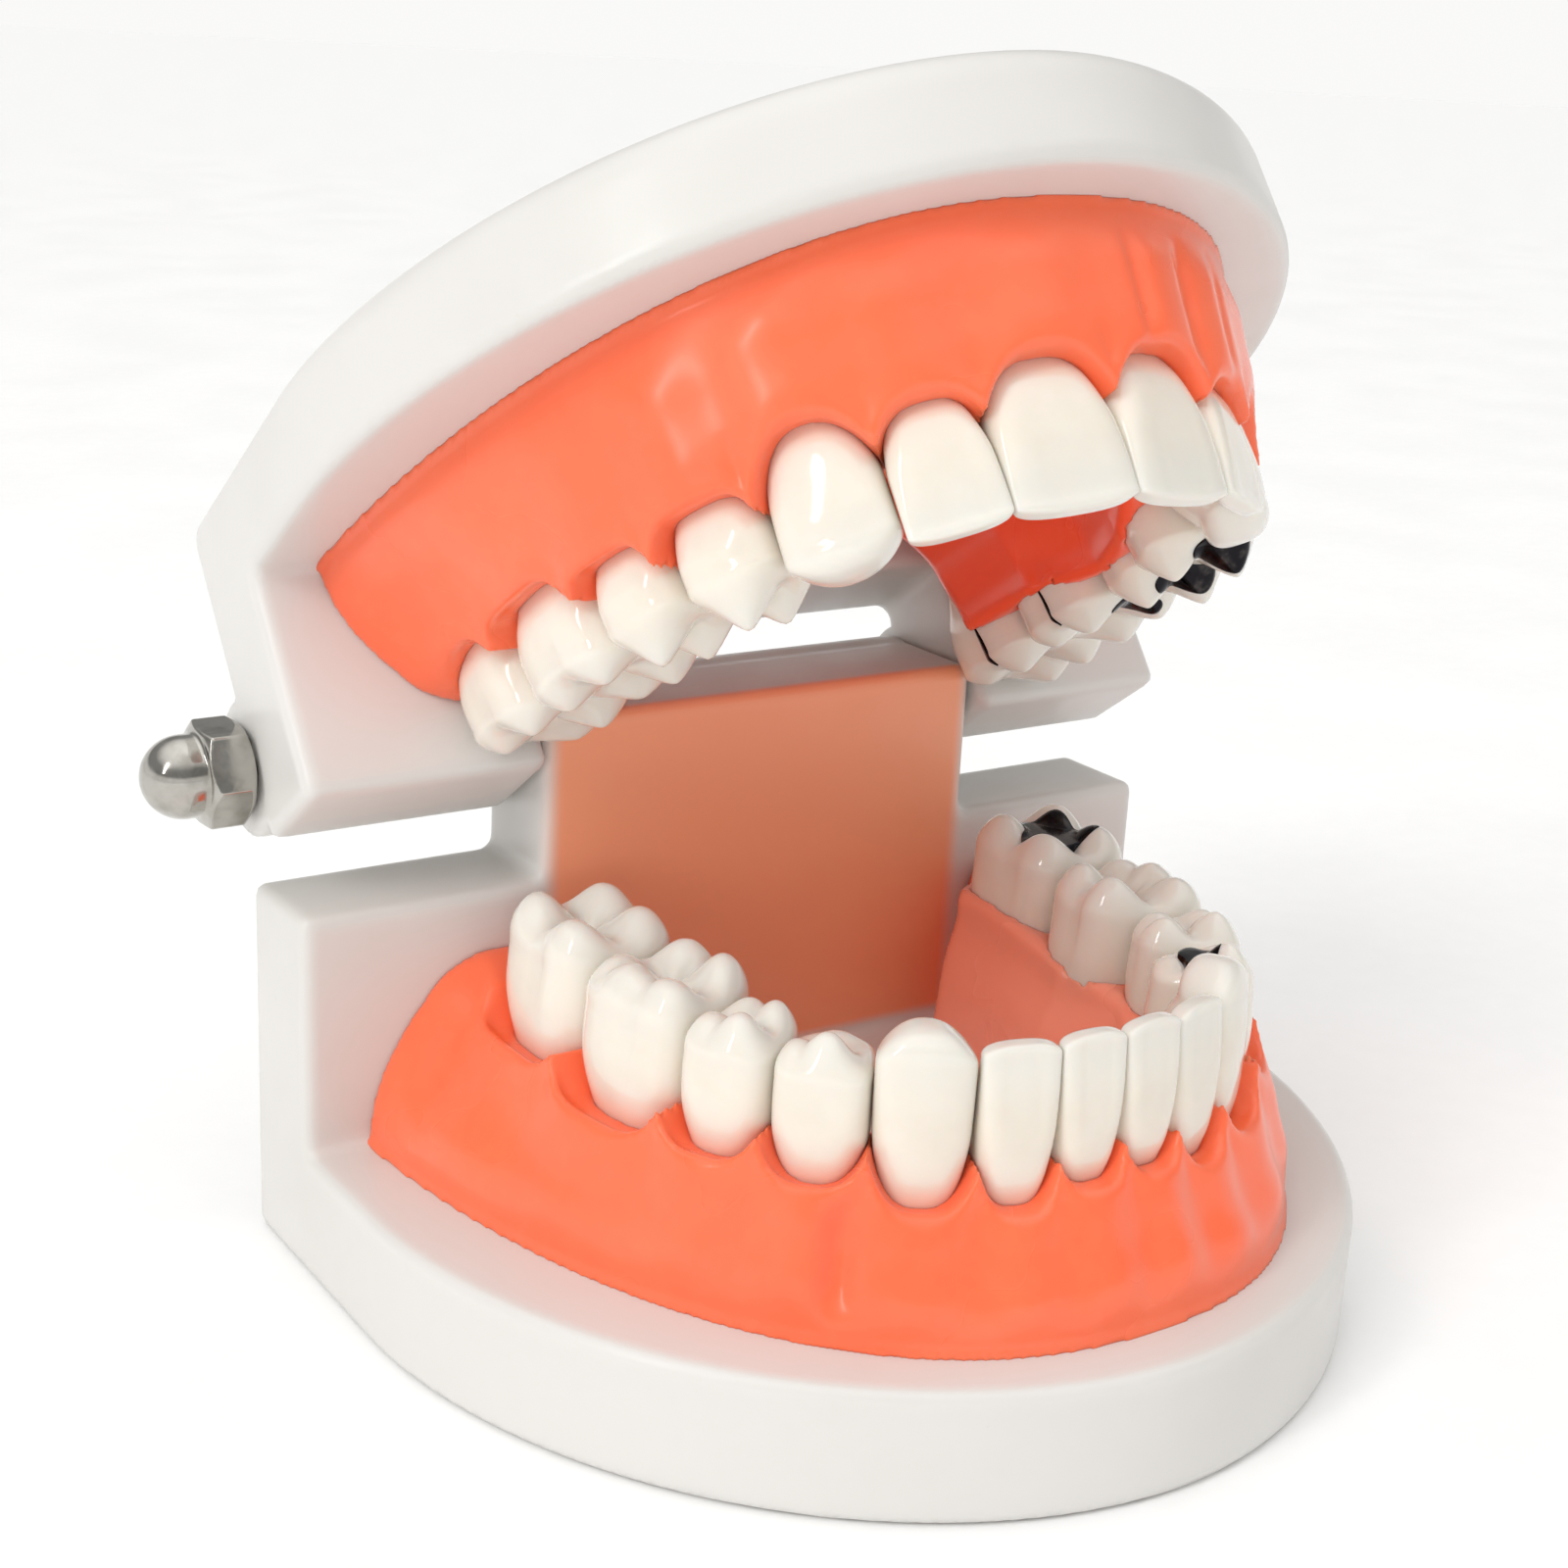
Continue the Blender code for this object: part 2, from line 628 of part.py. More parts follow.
def main():
    clear_scene()
    parts = make_collection("typodont")
    cutters = make_collection("cutters")
    white = make_material("white_plastic", (0.86, 0.84, 0.80), 0.35)
    pink = make_material("gum_plastic", (0.90, 0.25, 0.13), 0.3)
    enamel = make_material("tooth_plastic", (0.88, 0.84, 0.75), 0.2)
    steel = make_material("bright_steel", (0.75, 0.74, 0.70), 0.12, 1.0)
    amalgam = make_material("polished_amalgam", (0.05, 0.05, 0.06), 0.15, 1.0)

    hinge = bpy.data.objects.new("jaw_hinge_axis", None)
    hinge.location = (0.0, HINGE_Y, HINGE_Z)
    hinge.rotation_euler = (-OPEN_ANGLE, 0.0, 0.0)
    parts.objects.link(hinge)
    to_hinge = (0.0, -HINGE_Y, -HINGE_Z)
    in_place = (0.0, 0.0, 0.0)

    lower_row = Row(
        LOWER_ARCH, LOWER_WIDTHS, LOWER_DEPTHS, (LOWER_MARGIN, LOWER_MARGIN_STEPS),
        (LOWER_BITE, LOWER_BITE_STEPS), LOWER_SLOPE, LOWER_PLATE_TOP, "lower",
    )
    upper_row = Row(
        UPPER_ARCH, UPPER_WIDTHS, UPPER_DEPTHS, (UPPER_MARGIN, UPPER_MARGIN_STEPS),
        (UPPER_BITE, UPPER_BITE_STEPS), UPPER_SLOPE, UPPER_PLATE_BOTTOM, "upper",
    )

    make_lower_base(parts, cutters, white)
    make_upper_base(parts, cutters, white, hinge, to_hinge)

    sockets = make_row_of_teeth(lower_row, parts, cutters, enamel, amalgam, None, in_place)
    gum = add_object("lower_gum", gum_mesh("lower_gum", lower_row, 23.8 * MM, 6.0 * MM), parts, pink)
    boolean(gum, "DIFFERENCE", sockets)

    sockets = make_row_of_teeth(upper_row, parts, cutters, enamel, amalgam, hinge, to_hinge)
    mesh = move_mesh(gum_mesh("upper_gum", upper_row, 34.2 * MM, 6.8 * MM), *to_hinge)
    gum = add_object("upper_gum", mesh, parts, pink, hinge)
    boolean(gum, "DIFFERENCE", sockets)

    half_length = BASE_WIDTH / 2 + BOLT_PAST_WALL
    bolt = rod_mesh("hinge_bolt", BOLT_RADIUS, -half_length, half_length, 0.0, 0.0)
    add_object("hinge_bolt", bolt, parts, steel, hinge)
    make_cap_nut(-1.0, "right", parts, cutters, steel, hinge)
    make_cap_nut(1.0, "left", parts, cutters, steel, hinge)


main()
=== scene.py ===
import json
import math

import bpy
import numpy as np
from mathutils import Matrix, Vector


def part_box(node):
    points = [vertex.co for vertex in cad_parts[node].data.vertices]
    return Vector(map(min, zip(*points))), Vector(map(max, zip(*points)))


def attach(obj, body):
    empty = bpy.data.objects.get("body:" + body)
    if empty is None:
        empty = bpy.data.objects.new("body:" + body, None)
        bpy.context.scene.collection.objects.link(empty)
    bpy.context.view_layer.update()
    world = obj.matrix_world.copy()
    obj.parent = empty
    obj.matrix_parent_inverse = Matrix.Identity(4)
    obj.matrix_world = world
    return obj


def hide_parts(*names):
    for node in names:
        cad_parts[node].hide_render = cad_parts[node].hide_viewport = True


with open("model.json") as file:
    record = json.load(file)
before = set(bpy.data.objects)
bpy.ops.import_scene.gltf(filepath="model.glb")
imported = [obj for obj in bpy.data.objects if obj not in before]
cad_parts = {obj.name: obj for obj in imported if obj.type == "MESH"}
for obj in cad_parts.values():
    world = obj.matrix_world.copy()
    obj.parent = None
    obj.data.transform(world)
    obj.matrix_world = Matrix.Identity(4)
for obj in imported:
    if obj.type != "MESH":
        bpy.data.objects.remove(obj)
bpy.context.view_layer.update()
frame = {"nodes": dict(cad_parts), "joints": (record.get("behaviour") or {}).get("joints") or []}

# Shapes are worked out in millimetres with the jaws closed, then the upper jaw is turned open.
MM = 0.001
HINGE_Y, HINGE_Z = (value / MM for value in frame["joints"][0]["pos_m"][1:])
OPEN_ANGLE = math.radians(36.9)
BASE_LOW, BASE_HIGH = (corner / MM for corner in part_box("lower_base"))

# The white bases.
REAR_Y = HINGE_Y - 0.9
HALF_WIDTH = BASE_HIGH.x
SIDE_LENGTH = 19.2
FRONT_LENGTH = REAR_Y - SIDE_LENGTH - BASE_LOW.y
FRONT_EXPONENT = 1.92
WALL_THICKNESS = 9.0
WALL_FRONT = REAR_Y - WALL_THICKNESS
LOWER_PLATE_TOP = 9.1
LOWER_WALL_TOP = 26.7
UPPER_WALL_BOTTOM = 28.9
UPPER_PLATE_BOTTOM = 45.3
UPPER_TOP = 53.9
EDGE_RADIUS = 0.9
FOOT_RADIUS = 0.7
CROWN_RADIUS = 2.8
CORNER_FILLET = 1.0
BASE_CELL = 0.5
GRID_MARGIN = 1.5

# The hinge.
TAB_HALF_WIDTH = 19.0
TAB_BARREL_RADIUS = BASE_HIGH.z - HINGE_Z
NOTCH_HALF_WIDTH = TAB_HALF_WIDTH + 0.4
NOTCH_TOP = 41.3
BARREL_EDGE = 0.4
BOSS_RADIUS = 4.9
BOSS_EDGE = 0.5
BORE_RADIUS = 2.06
NUT_FLATS = 6.8
NUT_HEX_HEIGHT = 3.3
NUT_DOME_RADIUS = 2.95
NUT_DOME_CENTRE = 4.2
NUT_SEAT = HALF_WIDTH + 0.3
NUT_TURN = math.radians(12.0)
NUT_CHAMFER = math.radians(30.0)
NUT_CHAMFER_START = 0.94 * NUT_FLATS / 2
NUT_EDGE = 0.12
NUT_FILLET = 0.3
NUT_CELL = 0.13

# The gums.
GUM_HALF_WIDTH = 32.9
GUM_LENGTH = 54.4
GUM_REAR_Y = REAR_Y - 1.4
GUM_EXPONENT = 2.23
GUM_CELL = 0.31
WALL_BLEND = 6.0
GAP = 0.3

# Where the teeth stand: (half width, depth, exponent, shoulder y) of the line of their outer faces.
ARCHES = {
    "lower": (25.4, 27.1, 2.1, REAR_Y - 24.5),
    "upper": (26.4, 33.6, 2.1, REAR_Y - 20.7),
}
FRONT_Y = REAR_Y - 50.0
PLATE_FACES = {"lower": LOWER_PLATE_TOP, "upper": UPPER_PLATE_BOTTOM}
# The teeth from the middle to the rear, with each one's width along the row and its depth.
TOOTH_NAMES = (
    "central_incisor", "lateral_incisor", "canine", "first_premolar", "second_premolar",
    "first_molar", "second_molar",
)
SIZES = {
    "lower": ((5.0, 6.0), (5.5, 6.5), (7.0, 7.5), (7.0, 7.5), (7.0, 8.0), (11.0, 10.3), (10.5, 10.0)),
    "upper": ((9.0, 7.0), (6.9, 6.3), (8.0, 8.0), (7.5, 8.8), (7.4, 8.8), (10.6, 10.8), (9.5, 10.5)),
}
# Heights of the gum line and of the biting edges: at the front, the slope to the rear, each tooth's step.
MARGINS = {
    "lower": (17.6, 0.029, (0.5, -0.5, -0.6, 0.3, 0.5, -0.4, 0.1)),
    "upper": (34.5, 0.015, (1.5, 0.2, 1.2, -0.9, -0.8, 0.5, 0.9)),
}
BITES = {
    "lower": (27.7, 0.029, (0.2, 0.0, 0.8, -0.4, -0.5, 0.0, 0.3)),
    "upper": (26.2, 0.015, (0.2, 0.3, 0.3, -0.3, 0.2, 1.4, 1.8)),
}

# Crown sections: height (0 at the gum, 1 at the biting edge), then the outer face and inner face as
# shares of the tooth's depth, and how square the section is.
SECTIONS = {
    "incisor": (
        (-0.45, 0.16, 0.8, 2.5), (-0.15, 0.1, 0.9, 2.8), (0.0, 0.07, 0.93, 3.1), (0.12, 0.02, 0.95, 3.4),
        (0.3, 0.0, 0.88, 3.9), (0.5, 0.01, 0.66, 4.4), (0.7, 0.04, 0.47, 4.6), (0.9, 0.085, 0.33, 4.4),
    ),
    "canine": (
        (-0.45, 0.16, 0.84, 2.3), (-0.15, 0.08, 0.93, 2.5), (0.0, 0.05, 0.95, 2.6), (0.15, 0.01, 0.97, 2.8),
        (0.35, 0.0, 0.9, 3.0), (0.6, 0.01, 0.74, 3.1), (0.78, 0.04, 0.6, 3.0),
    ),
    "lower_premolar": (
        (-0.45, 0.14, 0.86, 2.3), (-0.15, 0.08, 0.92, 2.5), (0.0, 0.05, 0.95, 2.6), (0.18, 0.01, 0.985, 2.8),
        (0.38, 0.0, 1.0, 3.1), (0.55, 0.02, 0.985, 3.3), (0.66, 0.035, 0.975, 3.3),
    ),
    "upper_premolar": (
        (-0.45, 0.14, 0.86, 2.3), (-0.15, 0.08, 0.92, 2.5), (0.0, 0.04, 0.96, 2.7), (0.18, 0.01, 0.99, 2.9),
        (0.36, 0.0, 1.0, 3.0), (0.5, 0.02, 0.985, 3.0),
    ),
    "molar": (
        (-0.45, 0.12, 0.88, 2.5), (-0.15, 0.06, 0.94, 2.7), (0.0, 0.04, 0.96, 2.9), (0.18, 0.01, 0.99, 3.1),
        (0.38, 0.0, 1.0, 3.3), (0.52, 0.015, 0.985, 3.4), (0.64, 0.03, 0.975, 3.4),
    ),
}
# Widths at the neck, as shares of the full width, and the height by which a crown is full.
NECKS = {
    "lower": (0.84, 0.82, 0.8, 0.8, 0.82, 0.86, 0.88),
    "upper": (0.78, 0.78, 0.76, 0.92, 0.93, 0.93, 0.93),
}
FULL_LEVELS = {"incisor": 0.46, "canine": 0.4, "premolar": 0.32, "molar": 0.32}
NARROWING = 1.6
MOST_NARROWING = 1.3
CONTACT_GAP = 0.05
# Where a crown closes: the point it closes towards (share of the depth), and the closing curve.
TIPS = {"incisor": (0.19, 4.0), "canine": (0.34, 2.8), "premolar": (0.5, 3.6), "molar": (0.5, 4.2)}
# Cusps as (across, in-out, height): across runs front to back, in-out from the cheek to the tongue.
CUSPS = {
    "upper_first_premolar": ((0.05, -0.52, 1.0), (-0.05, 0.52, 0.78)),
    "upper_second_premolar": ((0.05, -0.52, 0.98), (0.05, 0.52, 0.82)),
    "upper_first_molar": (
        (-0.5, -0.6, 0.98), (0.46, -0.6, 0.92), (-0.42, 0.56, 1.0), (0.54, 0.58, 0.72),
    ),
    "upper_second_molar": (
        (-0.5, -0.6, 0.98), (0.46, -0.6, 0.82), (-0.36, 0.56, 0.9), (0.54, 0.58, 0.62),
    ),
    "lower_first_premolar": ((-0.05, -0.5, 1.0), (0.55, -0.4, 0.7), (0.0, 0.6, 0.55)),
    "lower_second_premolar": (
        (-0.2, -0.52, 1.0), (0.52, -0.46, 0.8), (-0.38, 0.56, 0.9), (0.4, 0.56, 0.8),
    ),
    "lower_first_molar": (
        (-0.56, -0.58, 0.92), (0.12, -0.62, 0.9), (0.7, -0.42, 0.76),
        (-0.5, 0.58, 1.0), (0.46, 0.58, 0.94),
    ),
    "lower_second_molar": (
        (-0.52, -0.58, 0.92), (0.5, -0.58, 1.0), (-0.5, 0.58, 0.94), (0.5, 0.58, 0.96),
    ),
}
# The biting surface's level between the cusps, how wide a cusp is, and how pointed.
CUSP_SHAPES = {
    "lower": {"premolar": (0.36, 0.52, 2.2), "molar": (0.32, 0.5, 2.3)},
    "upper": {"premolar": (0.1, 0.66, 1.45), "molar": (0.16, 0.5, 1.6)},
}
# A crown's mesh: points round it, and rings up its wall and over its biting surface, closest at the rim.
AROUND = 80
WALL_LEVELS = 34
CAP_LEVELS = 34
CAP_CROWDING = 0.8
# Hollows in the outer faces: the height they start at, and the height over which they deepen.
HOLLOW_FOOT, HOLLOW_FADE = 0.22, 0.4
INCISOR_HOLLOW = 0.36
MOLAR_GROOVES = {"lower": -0.2, "upper": 0.04}
# Rounds that settle points on a surface, and that find a place along the row.
SETTLING_ROUNDS = 3
UNPLACE_ROUNDS = 8
UNPLACE_RANGE = (-12.0, 20.0)

# Fillings on the patient's left: centre (across, in-out), half size, how far the outline waves, and the
# height that they fill the biting surface to.
FILLINGS = {
    "upper_left_first_premolar": (-0.42, -0.3, 0.42, 0.48, 0.05, 0.3),
    "upper_left_second_premolar": (-0.42, -0.1, 0.34, 0.56, 0.06, 0.3),
    "upper_left_first_molar": (-0.66, -0.1, 0.22, 0.4, 0.1, 0.3),
    "lower_left_first_premolar": (-0.1, 0.1, 0.6, 0.4, 0.12, 0.6),
    "lower_left_second_molar": (-0.04, -0.04, 0.56, 0.6, 0.14, 0.6),
}
# Stained grooves that run over the tongue side of a crown: where, and how far down the wall.
STAINS = {"upper_left_first_molar": (-0.16, 0.3), "upper_left_second_molar": (-0.14, 0.3)}
STAIN_HALF_WIDTH = 0.36
STAIN_STEPS = 14
STAIN_SINK = 0.12
STAIN_PROUD = 0.08
INLAY_AROUND = 64
INLAY_RINGS = 12
INLAY_PROUD = 0.12
INLAY_EDGE_DROP = 0.07
INLAY_DEPTH = 0.6


# ---- meshes


def new_object(name, points, faces):
    """A smooth-shaded object from points in millimetres and quads, which are turned to face outwards."""
    a, b, c, d = (points[faces[:, k]] for k in range(4))
    volume = (a * (np.cross(b, c) + np.cross(c, d))).sum()
    if volume < 0:
        faces = faces[:, ::-1]
    mesh = bpy.data.meshes.new(name)
    mesh.vertices.add(len(points))
    mesh.vertices.foreach_set("co", (points * MM).astype(np.float32).ravel())
    mesh.loops.add(faces.size)
    mesh.loops.foreach_set("vertex_index", faces.astype(np.int32).ravel())
    mesh.polygons.add(len(faces))
    mesh.polygons.foreach_set("loop_start", np.arange(0, faces.size, 4, dtype=np.int32))
    mesh.update(calc_edges=True)
    mesh.validate()
    mesh.shade_smooth()
    item = bpy.data.objects.new(name, mesh)
    bpy.context.scene.collection.objects.link(item)
    return item


def paint(item, name, values):
    """A value per point, which the material reads by its name."""
    layer = item.data.attributes.new(name, "FLOAT", "POINT")
    layer.data.foreach_set("value", values.astype(np.float32))


def hand_over(item, material, jaw, slot, *nodes):
    """Gives a piece its material and the body it rides on, and hides the CAD nodes it stands for; the slot is
    not used.
    """
    item.data.materials.append(material)
    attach(item, f"{jaw}_jaw")
    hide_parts(*nodes)


def opened(points, is_upper):
    """The rest place of points laid out with the jaws closed."""
    if not is_upper:
        return points
    turned = np.array(points, float)
    y, z = points[..., 1] - HINGE_Y, points[..., 2] - HINGE_Z
    cosine, sine = math.cos(OPEN_ANGLE), math.sin(OPEN_ANGLE)
    turned[..., 1] = HINGE_Y + y * cosine + z * sine
    turned[..., 2] = HINGE_Z - y * sine + z * cosine
    return turned


def surface_net(field, low, cell):
    """The zero surface of a sampled distance field: a point in each cell it crosses, and quads."""
    cells = tuple(count - 1 for count in field.shape)
    offset = np.zeros(cells + (3,), np.float32)
    hits = np.zeros(cells, np.int16)
    crossings = []
    for axis in range(3):
        near, far = (np.take(field, range(k, k + cells[axis]), axis) for k in (0, 1))
        crossed = (near < 0) != (far < 0)
        share = np.where(crossed, near / np.where(crossed, near - far, 1.0), 0.0)
        crossings.append(crossed)
        first, second = [k for k in range(3) if k != axis]
        for i, j in ((0, 0), (0, 1), (1, 0), (1, 1)):
            index = [slice(None)] * 3
            index[first] = slice(i, i + cells[first])
            index[second] = slice(j, j + cells[second])
            here = crossed[tuple(index)]
            offset[..., axis] += share[tuple(index)]
            offset[..., first] += here * i
            offset[..., second] += here * j
            hits += here
    used = hits > 0
    number = np.full(cells, -1, np.int64)
    number[used] = np.arange(used.sum())
    points = np.argwhere(used) + offset[used] / hits[used][:, None]
    quads = []
    for axis, crossed in enumerate(crossings):
        first, second = [k for k in range(3) if k != axis]
        places = np.argwhere(crossed)
        for k in (first, second):
            places = places[(places[:, k] > 0) & (places[:, k] < cells[k])]
        shifts = np.zeros((4, 3), int)
        shifts[:, [first, second]] = (1, 1), (0, 1), (0, 0), (1, 0)
        quad = np.stack([number[tuple((places - shift).T)] for shift in shifts], axis=1)
        backward = (field[tuple(places.T)] < 0) == (axis == 1)
        quad[backward] = quad[backward][:, ::-1]
        quads.append(quad)
    return np.asarray(low) + cell * points, np.concatenate(quads)


def solid(distance, low, high, cell):
    """The mesh of a distance function, its points moved onto the exact surface."""
    axes = [np.arange(low[k], high[k] + cell, cell) for k in range(3)]
    field = distance(*np.meshgrid(*axes, indexing="ij"))
    points, quads = surface_net(field.astype(np.float32), [axis[0] for axis in axes], cell)
    step = 0.02
    sides = step * np.eye(3)
    for _ in range(SETTLING_ROUNDS):
        here = distance(*points.T)
        rises = [distance(*(points + side).T) - distance(*(points - side).T) for side in sides]
        slope = np.stack(rises, axis=1) / (2 * step)
        size = np.maximum((slope**2).sum(axis=1), 0.2)
        points = points - 0.9 * slope * np.clip(here / size, -cell, cell)[:, None]
    return points, quads


def relaxed(points, quads, rounds):
    """Points eased towards their neighbours, to take out the grid's steps."""
    ends = np.concatenate([quads[:, [k, (k + 1) % 4]] for k in range(4)])
    count = np.bincount(ends[:, 0], minlength=len(points))[:, None]
    for share in (0.6, -0.35) * rounds:
        sums = [np.bincount(ends[:, 0], points[ends[:, 1], k], len(points)) for k in range(3)]
        mean = np.stack(sums, axis=1)
        points = points + share * (mean / count - points)
    return points


def unit(value):
    return np.clip(value, 0.0, 1.0)


def smooth_step(value):
    value = unit(value)
    return value * value * (3.0 - 2.0 * value)


def bell(away, width):
    return np.exp(-((away / width) ** 2))


def crease(away, width):
    return np.exp(-(np.abs(away / width) ** 1.5))


def both(a, b, radius):
    """The space inside both, its edge rounded."""
    u, v = np.maximum(a + radius, 0.0), np.maximum(b + radius, 0.0)
    return np.minimum(np.maximum(a, b), -radius) + np.hypot(u, v)


def either(a, b, radius):
    """The space inside either, with a fillet between them."""
    return -both(-a, -b, radius)


def blended(a, b, width):
    """The space inside either, flowing into each other."""
    share = unit(0.5 + 0.5 * (b - a) / width)
    return b + (a - b) * share - width * share * (1.0 - share)


def squared_off(turn, square):
    """A sine or cosine reshaped, so that the oval it draws is this square."""
    return np.sign(turn) * np.abs(turn) ** (2 / square)


def oval_distance(x, y, half_width, depth, exponent):
    """The distance from a superellipse, near enough close to its line."""
    u = np.abs(x) / half_width
    v = np.abs(y) / depth
    reach = np.maximum((u**exponent + v**exponent) ** (1 / exponent), 1e-4)
    slope = np.hypot((u / reach) ** (exponent - 1) / half_width, (v / reach) ** (exponent - 1) / depth)
    return (reach - 1.0) / np.maximum(slope, 1e-4)


# ---- white bases and hinge


def base_plan(x, y):
    shoulder = REAR_Y - SIDE_LENGTH
    front = oval_distance(x, np.minimum(y - shoulder, 0.0), HALF_WIDTH, FRONT_LENGTH, FRONT_EXPONENT)
    return both(np.where(y > shoulder, np.abs(x) - HALF_WIDTH, front), y - REAR_Y, EDGE_RADIUS)


def rod_distance(y, z, radius):
    return np.hypot(y - HINGE_Y, z - HINGE_Z) - radius


def lower_base_distance(x, y, z):
    section = either(z - LOWER_PLATE_TOP, WALL_FRONT - y, CORNER_FILLET)
    tab = both(np.abs(x) - TAB_HALF_WIDTH, z - (HINGE_Z + TAB_BARREL_RADIUS), EDGE_RADIUS)
    skyline = either(z - LOWER_WALL_TOP, tab, CORNER_FILLET)
    block = both(both(section, base_plan(x, y), EDGE_RADIUS), skyline, EDGE_RADIUS)
    block = both(block, -z, FOOT_RADIUS)
    barrel = both(rod_distance(y, z, TAB_BARREL_RADIUS), np.abs(x) - TAB_HALF_WIDTH, BARREL_EDGE)
    return np.maximum(np.minimum(block, barrel), -rod_distance(y, z, BORE_RADIUS))


def upper_base_distance(x, y, z):
    section = either(UPPER_PLATE_BOTTOM - z, WALL_FRONT - y, CORNER_FILLET)
    notch = both(np.abs(x) - NOTCH_HALF_WIDTH, z - NOTCH_TOP, CORNER_FILLET)
    skyline = both(UPPER_WALL_BOTTOM - z, -notch, EDGE_RADIUS)
    plan = both(base_plan(x, y), z - UPPER_TOP, CROWN_RADIUS)
    block = both(both(section, plan, EDGE_RADIUS), skyline, EDGE_RADIUS)
    span = np.maximum(np.abs(x) - HALF_WIDTH, NOTCH_HALF_WIDTH - np.abs(x))
    boss = both(rod_distance(y, z, BOSS_RADIUS), span, BOSS_EDGE)
    return np.maximum(np.minimum(block, boss), -rod_distance(y, z, BORE_RADIUS))


def nut_distance(x, y, z):
    """A cap nut standing up Z from its seat."""
    around = np.hypot(x, y)
    flats = np.full_like(x, -NUT_FLATS)
    for i in range(3):
        angle = NUT_TURN + i * math.pi / 3
        flats = np.maximum(flats, np.abs(x * math.cos(angle) + y * math.sin(angle)) - NUT_FLATS / 2)
    prism = both(both(flats, z - NUT_HEX_HEIGHT, NUT_EDGE), -z, NUT_EDGE)
    slope = math.tan(NUT_CHAMFER)
    for end in (z - NUT_HEX_HEIGHT, -z):
        cone = (end + (around - NUT_CHAMFER_START) * slope) * math.cos(NUT_CHAMFER)
        prism = both(prism, cone, NUT_EDGE)
    pillar = np.maximum(around - NUT_DOME_RADIUS, z - NUT_DOME_CENTRE)
    ball = np.sqrt(x * x + y * y + (z - NUT_DOME_CENTRE) ** 2) - NUT_DOME_RADIUS
    cap = np.maximum(np.minimum(pillar, ball), -z)
    return either(prism, cap, NUT_FILLET)


def make_bases():
    reach = HALF_WIDTH + GRID_MARGIN
    rear = HINGE_Y + BOSS_RADIUS + GRID_MARGIN
    for jaw, distance, bottom, top in (
        ("lower", lower_base_distance, 0.0, BASE_HIGH.z),
        ("upper", upper_base_distance, UPPER_WALL_BOTTOM, UPPER_TOP),
    ):
        low = (-reach, BASE_LOW.y - GRID_MARGIN, bottom - GRID_MARGIN)
        points, quads = solid(distance, low, (reach, rear, top + GRID_MARGIN), BASE_CELL)
        item = new_object(f"{jaw}_base_moulding", opened(points, jaw == "upper"), quads)
        hand_over(item, white_plastic(jaw), jaw, "white_plastic", f"{jaw}_base")


def make_nuts(metal):
    size = NUT_FLATS / math.sqrt(3.0) + 0.5
    top = NUT_DOME_CENTRE + NUT_DOME_RADIUS + 0.5
    points, quads = solid(nut_distance, (-size, -size, -0.5), (size, size, top), NUT_CELL)
    y, z, out = points.T
    for side, hand in ((-1.0, "right"), (1.0, "left")):
        placed = np.stack([side * (NUT_SEAT + out), HINGE_Y + y, HINGE_Z + z], axis=1)
        nut = new_object(f"cap_nut_{hand}_plated", opened(placed, True), quads)
        hand_over(nut, metal, "upper", "bright_steel", f"cap_nut_{hand}")


# ---- rows of teeth


def cubic(knots, rows, at):
    """Rows of values read at heights between the knots, on a smooth curve."""
    knots, rows = np.asarray(knots, float), np.asarray(rows, float)
    slopes = np.gradient(rows, knots, axis=0)
    i = np.clip(np.searchsorted(knots, at) - 1, 0, len(knots) - 2)
    step = (knots[i + 1] - knots[i])[:, None]
    t = ((at - knots[i])[:, None]) / step
    first = rows[i] * (1 + 2 * t) * (1 - t) ** 2 + slopes[i] * step * t * (1 - t) ** 2
    return first + rows[i + 1] * t * t * (3 - 2 * t) + slopes[i + 1] * step * t * t * (t - 1)


